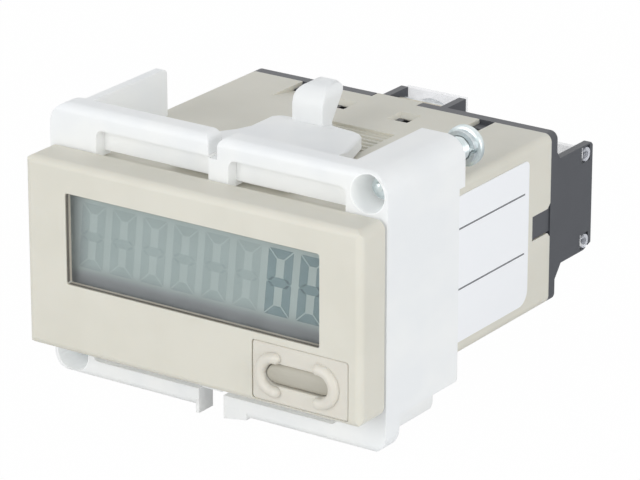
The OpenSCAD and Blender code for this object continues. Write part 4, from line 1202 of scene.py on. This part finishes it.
@dataclass
class ClampScrew:
    """A screw with a cut thread, a pointed tip and a domed head with a cross recess."""

    side: str
    thread_r_mm: float = 1.5
    thread_depth_mm: float = 0.24
    pitch_mm: float = 0.5
    rows_per_pitch: int = 8
    tip_r_mm: float = 0.6
    tip_l_mm: float = 0.8
    point_mm: float = 0.05
    root_mm: float = 0.1
    neck_r_mm: float = 0.9
    head_r_mm: float = 2.5
    head_h_mm: float = 2.1
    rim_mm: float = 0.8
    soft_mm: float = 0.12
    soft_steps: int = 6
    soft_step_deg: float = 15.0
    crown_power: float = 1.25
    crown_rings: int = 26
    cross_w_mm: float = 0.36
    cross_l_mm: float = 1.4
    cross_depth_mm: float = 1.1
    cross_side_mm: float = 0.08
    cross_end_mm: float = 0.5
    cross_start_mm: float = 0.2
    cross_floor_mm: float = 0.4
    sides: int = 40
    smooth_degrees: float = 50.0

    def turned(self, radius: float, step: int) -> Pair:
        """X and Z of one of the points round the axis."""
        turn = 2 * math.pi * step / self.sides
        return radius * math.cos(turn), radius * math.sin(turn)

    def thread(self, mesh: bmesh.types.BMesh, at: Vector, y0: float, y1: float) -> None:
        """Adds the threaded shank.

        Args:
            mesh: The mesh to add it to.
            at: A point on the screw's axis, in millimetres.
            y0: Y of the tip.
            y1: Y of the end in the head.
        """
        rows = round((y1 - y0) / (self.pitch_mm / self.rows_per_pitch))
        rings = []
        for row in range(rows + 1):
            y = y0 + (y1 - y0) * row / rows
            cone = self.tip_r_mm + (self.thread_r_mm - self.tip_r_mm) * (y - y0) / self.tip_l_mm
            spots = []
            for step in range(self.sides):
                phase = (y / self.pitch_mm - step / self.sides) % 1.0
                depth = self.thread_depth_mm * (1 - abs(2 * phase - 1))
                x, z = self.turned(min(self.thread_r_mm, cone) - depth, step)
                spots.append((at.x + x, y, at.z + z))
            rings.append(spots)
        tip, root = ([(at.x, y, at.z)] * self.sides for y in (y0 - self.point_mm, y1))
        loft(mesh, [tip, *rings, root])

    def recess(self, x: float, z: float) -> float:
        """Measures the cross in the head.

        Args:
            x: A point's X from the axis, in millimetres.
            z: Its Z from there.

        Returns:
            Depth of the cross at that point.
        """
        near, far = sorted((abs(x), abs(z)))
        side = (self.cross_w_mm - near) / self.cross_side_mm
        end = (self.cross_l_mm - far) / self.cross_end_mm
        return self.cross_depth_mm * max(min(side, end, 1.0), 0.0)

    def head_profile(self, y0: float) -> list[Pair]:
        """Draws half the head's section.

        The ring where the rim's rounding starts is there twice, so that the straight side is
        shaded apart from it.

        Args:
            y0: Y of its underside, in millimetres.

        Returns:
            Radius and Y of its rings, from the underside to the top of the dome.
        """
        soft, edge_y = self.soft_mm, y0 + self.rim_mm - self.soft_mm
        profile = [
            (self.neck_r_mm, y0), (self.head_r_mm - soft, y0), (self.head_r_mm, y0 + soft),
            (self.head_r_mm, edge_y),
        ]
        for k in range(self.soft_steps):
            turn = math.radians(self.soft_step_deg * k)
            radius = self.head_r_mm - 2 * soft * (1 - math.cos(turn))
            profile.append((radius, edge_y + 2 * soft * math.sin(turn)))
        crown_r, crown_h = profile[-1][0], self.head_h_mm - self.rim_mm
        for k in range(1, self.crown_rings + 1):
            share = 1 - k / (self.crown_rings + 1)
            rise = crown_h * math.sqrt(1 - share ** 2) ** self.crown_power
            profile.append((crown_r * share, y0 + self.rim_mm + rise))
        return profile

    def head(self, mesh: bmesh.types.BMesh, at: Vector, y0: float) -> None:
        """Adds the head: a flat underside, a rim and a dome with the cross in it.

        Args:
            mesh: The mesh to add it to.
            at: A point on the screw's axis, in millimetres.
            y0: Y of its underside.
        """
        cross_y = y0 + self.head_h_mm - self.cross_depth_mm
        rings = []
        for radius, y in self.head_profile(y0):
            on_dome = y > y0 + self.rim_mm + self.cross_start_mm
            spots = []
            for step in range(self.sides):
                x, z = self.turned(radius, step)
                deep = self.recess(x, z) if on_dome else 0.0
                cut_y = max(y - deep, y0 + self.cross_floor_mm) if deep else y
                spots.append((at.x + x, cut_y, at.z + z))
            rings.append(spots)
        under, inner = ([(at.x, y, at.z)] * self.sides for y in (y0, cross_y))
        loft(mesh, [under, *rings, inner])

    def build(self) -> None:
        """Stands in for the plain screw of that side."""
        node = "clamp_screw_" + self.side
        low, high = box_mm(node)
        at = (low + high) / 2
        head_y = high.y - self.head_h_mm
        mesh = bmesh.new()
        self.thread(mesh, at, low.y, head_y + self.root_mm)
        self.head(mesh, at, head_y)
        bmesh.ops.recalc_face_normals(mesh, faces=mesh.faces)
        piece = seated(
            "threaded_screw_" + self.side, mesh, node, Finish.CLAMP, self.smooth_degrees
        )
        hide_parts(node)


@dataclass
class Adapter:
    """The sliding mounting adapter and its two clamp screws."""

    frame: dict
    edge_mm: float = 0.42
    corner_x_mm: float = 2.8
    corner_y_mm: float = 19.0
    corner_r_mm: float = 4.4
    tongue_foot_mm: float = 10.0
    tongue_y_mm: float = 14.0
    tongue_top_mm: float = 13.6
    tongue_edge_mm: float = 0.4
    tongue_edge_steps: int = 3
    rim_degrees: float = 40.0
    level: float = 0.9
    relief_depth_mm: float = 1.65
    relief_r_mm: float = 0.9
    relief_steps: int = 4
    relief_degrees: float = 60.0
    near_mm: float = 0.02

    def in_relief(self, edge: bmesh.types.BMEdge) -> bool:
        """Tells an inner corner that runs back along a relief's depth.

        Args:
            edge: An edge of the adapter.

        Returns:
            Whether it is one.
        """
        run = (edge.verts[1].co - edge.verts[0].co) / MM
        deep = abs(abs(run.y) - self.relief_depth_mm) < self.near_mm
        straight = math.hypot(run.x, run.z) < self.near_mm
        high = abs(edge.verts[0].co.z) / MM > self.tongue_foot_mm
        sharp = edge.is_manifold and edge.calc_face_angle(0.0) > math.radians(self.relief_degrees)
        return deep and straight and high and sharp and not edge.is_convex

    def round_reliefs(self, mesh: bmesh.types.BMesh) -> None:
        """Rounds the inner corners of the reliefs in the front of the frame.

        Args:
            mesh: The adapter's mesh.
        """
        corners = [edge for edge in mesh.edges if self.in_relief(edge)]
        LOG.info("relief corners: %d edges", len(corners))
        bmesh.ops.bevel(
            mesh, geom=corners, offset=self.relief_r_mm * MM, segments=self.relief_steps,
            profile=0.5, affect="EDGES", material=-1, clamp_overlap=False,
        )

    def draw_in_tongues(self, mesh: bmesh.types.BMesh) -> None:
        """Draws the far corner of each tongue in to its wide curve.

        The lower tongue is the upper one after half a turn about the Y axis.

        Args:
            mesh: The adapter's mesh.
        """
        for vert in mesh.verts:
            side = 1 if vert.co.z > 0 else -1
            x = side * vert.co.x / MM - self.corner_x_mm
            y = vert.co.y / MM - self.corner_y_mm
            if x <= 0 or y <= 0 or side * vert.co.z / MM < self.tongue_foot_mm:
                continue
            shrink = min(self.corner_r_mm / math.hypot(x, y), 1.0)
            vert.co.x = side * (self.corner_x_mm + x * shrink) * MM
            vert.co.y = (self.corner_y_mm + y * shrink) * MM
        mesh.normal_update()

    def on_tongue_rim(self, edge: bmesh.types.BMEdge) -> bool:
        """Tells an outer edge between the flat of a tongue and its side.

        Args:
            edge: An edge of the adapter.

        Returns:
            Whether it is one.
        """
        if not edge.is_convex or edge.calc_face_angle(0.0) < math.radians(self.rim_degrees):
            return False
        for vert in edge.verts:
            height = abs(vert.co.z) / MM
            if vert.co.y / MM < self.tongue_y_mm or not (
                    self.tongue_foot_mm < height < self.tongue_top_mm):
                return False
        side = 1 if edge.verts[0].co.z > 0 else -1
        return any(side * face.normal.z > self.level for face in edge.link_faces)

    def round_tongues(self, mesh: bmesh.types.BMesh) -> None:
        """Rounds the outer edges of the tongues.

        Args:
            mesh: The adapter's mesh.
        """
        rims = [edge for edge in mesh.edges if self.on_tongue_rim(edge)]
        LOG.info("tongue rims: %d edges", len(rims))
        bmesh.ops.bevel(
            mesh, geom=rims, offset=self.tongue_edge_mm * MM, segments=self.tongue_edge_steps,
            profile=0.5, affect="EDGES", material=-1, clamp_overlap=False,
        )

    def refine(self, mesh: bmesh.types.BMesh) -> None:
        """Gives the adapter's mesh the curves that the plain solid lacks.

        Args:
            mesh: The adapter's mesh.
        """
        self.round_reliefs(mesh)
        self.draw_in_tongues(mesh)
        self.round_tongues(mesh)

    def build(self) -> None:
        """Makes the adapter and its screws, and dresses their washers."""
        softened(
            self.frame, "mounting_adapter", "adapter", Finish.ADAPTER, self.edge_mm,
            shape=self.refine,
        )
        for side in ("upper", "lower"):
            ClampScrew(side).build()
            dress_nodes(self.frame, {"spring_washer_" + side: Finish.SPRING})


@dataclass
class Works:
    """What the closed case holds: boards, cell, switches and contacts."""

    frame: dict
    finishes: dict[str, Finish] = field(default_factory=lambda: {
        "lcd_frame": Finish.FRAME,
        "contact_strips": Finish.CONTACTS,
        "display_board": Finish.BOARD,
        "main_board": Finish.BOARD,
        "input_board": Finish.BOARD,
        "push_switch": Finish.SWITCH,
        "controller_chip": Finish.CHIP,
        "input_coupler": Finish.CHIP,
        "clock_crystal": Finish.CRYSTAL,
        "capacitors": Finish.CAPACITOR,
        "resistors": Finish.RESISTOR,
        "front_header": Finish.HEADER,
        "rear_header": Finish.HEADER,
        "lithium_cell": Finish.CELL,
        "cell_tabs": Finish.TAB,
        "protect_switch": Finish.SWITCH,
        "range_switch": Finish.SWITCH,
        "protect_knob": Finish.KNOB,
        "range_knob": Finish.KNOB,
    })

    def build(self) -> None:
        """Dresses each inner piece with its own finish."""
        dress_nodes(self.frame, self.finishes)


@dataclass(frozen=True)
class Softbox:
    """One soft square lamp that faces the object."""

    name: str
    place_m: Triple
    size_m: float
    power_w: float

    def hang(self) -> None:
        """Hangs the lamp in its place."""
        light = bpy.data.lights.new(self.name, "AREA")
        light.size = self.size_m
        light.energy = self.power_w
        lamp = bpy.data.objects.new(self.name, light)
        aim = -Vector(self.place_m)
        lamp.matrix_world = (
            Matrix.Translation(self.place_m) @ aim.to_track_quat("-Z", "Y").to_matrix().to_4x4()
        )
        bpy.context.scene.collection.objects.link(lamp)


@dataclass
class Studio:
    """The pale floor, the soft lights and the camera."""

    floor_mm: float = -18.15
    floor_half_m: float = 3.0
    floor_paint: Triple = (0.86, 0.86, 0.86)
    floor_white: float = 0.99
    world_soft: float = 0.58
    sky: Triple = (0.955, 0.975, 1.0)
    white: Triple = (1.0, 1.0, 1.0)
    lamps: tuple[Softbox, ...] = (
        Softbox("front_softbox", (-0.15, -0.8, 0.28), 0.5, 2.95),
        Softbox("side_softbox", (0.8, -0.12, 0.12), 0.4, 2.5),
    )
    camera_m: Triple = (0.2606, -0.3606, 0.1699)
    azimuth_deg: float = 34.25
    elevation_deg: float = 20.38
    roll_deg: float = 0.05
    focal_px: float = 4066.0
    frame_px: float = 640.0
    sensor_mm: float = 36.0
    clip_m: Pair = (0.01, 10.0)

    def camera(self) -> None:
        """Places the camera where the photograph was taken from."""
        lens = bpy.data.cameras.new("view")
        lens.sensor_width = self.sensor_mm
        lens.lens = self.focal_px / self.frame_px * self.sensor_mm
        lens.clip_start, lens.clip_end = self.clip_m
        camera = bpy.data.objects.new("view", lens)
        turn = (
            Matrix.Rotation(math.radians(self.azimuth_deg), 4, "Z")
            @ Matrix.Rotation(math.radians(90 - self.elevation_deg), 4, "X")
            @ Matrix.Rotation(math.radians(self.roll_deg), 4, "Z")
        )
        camera.matrix_world = Matrix.Translation(self.camera_m) @ turn
        bpy.context.scene.collection.objects.link(camera)
        bpy.context.scene.camera = camera

    def floor(self) -> None:
        """Lays a white floor that keeps a faint shadow."""
        mesh = bmesh.new()
        bmesh.ops.create_grid(mesh, x_segments=1, y_segments=1, size=self.floor_half_m)
        bmesh.ops.translate(mesh, verts=mesh.verts, vec=(0, 0, self.floor_mm * MM))
        data = bpy.data.meshes.new("floor")
        mesh.to_mesh(data)
        mesh.free()
        floor = bpy.data.objects.new("floor", data)
        bpy.context.scene.collection.objects.link(floor)
        graph = Graph.of_material("floor_paint")
        matt = graph.node("ShaderNodeBsdfDiffuse", inputs={"Color": self.floor_paint})
        white = graph.node("ShaderNodeEmission", inputs={"Strength": 1.0})
        share = graph.ray("Is Camera Ray") * self.floor_white
        mixed = graph.node(
            "ShaderNodeMixShader", inputs={0: share, 1: matt.outputs[0], 2: white.outputs[0]}
        )
        graph.node("ShaderNodeOutputMaterial", inputs={"Surface": mixed.outputs[0]})
        dress(floor, graph.owner)

    def world(self) -> None:
        """Lights everything softly and shows white behind it."""
        graph = Graph(bpy.data.worlds.new("studio"))
        soft, white = (
            graph.node(
                "ShaderNodeBackground", inputs={"Color": tone, "Strength": strength}
            )
            for tone, strength in ((self.sky, self.world_soft), (self.white, 1.0))
        )
        seen = graph.ray("Is Camera Ray").highest(graph.ray("Is Glossy Ray"))
        seen = seen.highest(graph.ray("Is Transmission Ray"))
        mixed = graph.node(
            "ShaderNodeMixShader", inputs={0: seen, 1: soft.outputs[0], 2: white.outputs[0]}
        )
        graph.node("ShaderNodeOutputWorld", inputs={"Surface": mixed.outputs[0]})
        bpy.context.scene.world = graph.owner

    def build(self) -> None:
        """Sets up the whole studio."""
        self.camera()
        self.floor()
        self.world()
        for lamp in self.lamps:
            lamp.hang()
        bpy.context.scene.view_settings.view_transform = "Standard"


def main() -> None:
    """Builds and dresses the whole meter in order."""
    logging.basicConfig(level=logging.INFO, format="%(message)s")
    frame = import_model()
    Studio().build()
    Case(frame).build()
    Display(frame).build()
    TerminalBlock(frame).build()
    Adapter(frame).build()
    Works(frame).build()


if __name__ == "__main__":
    main()
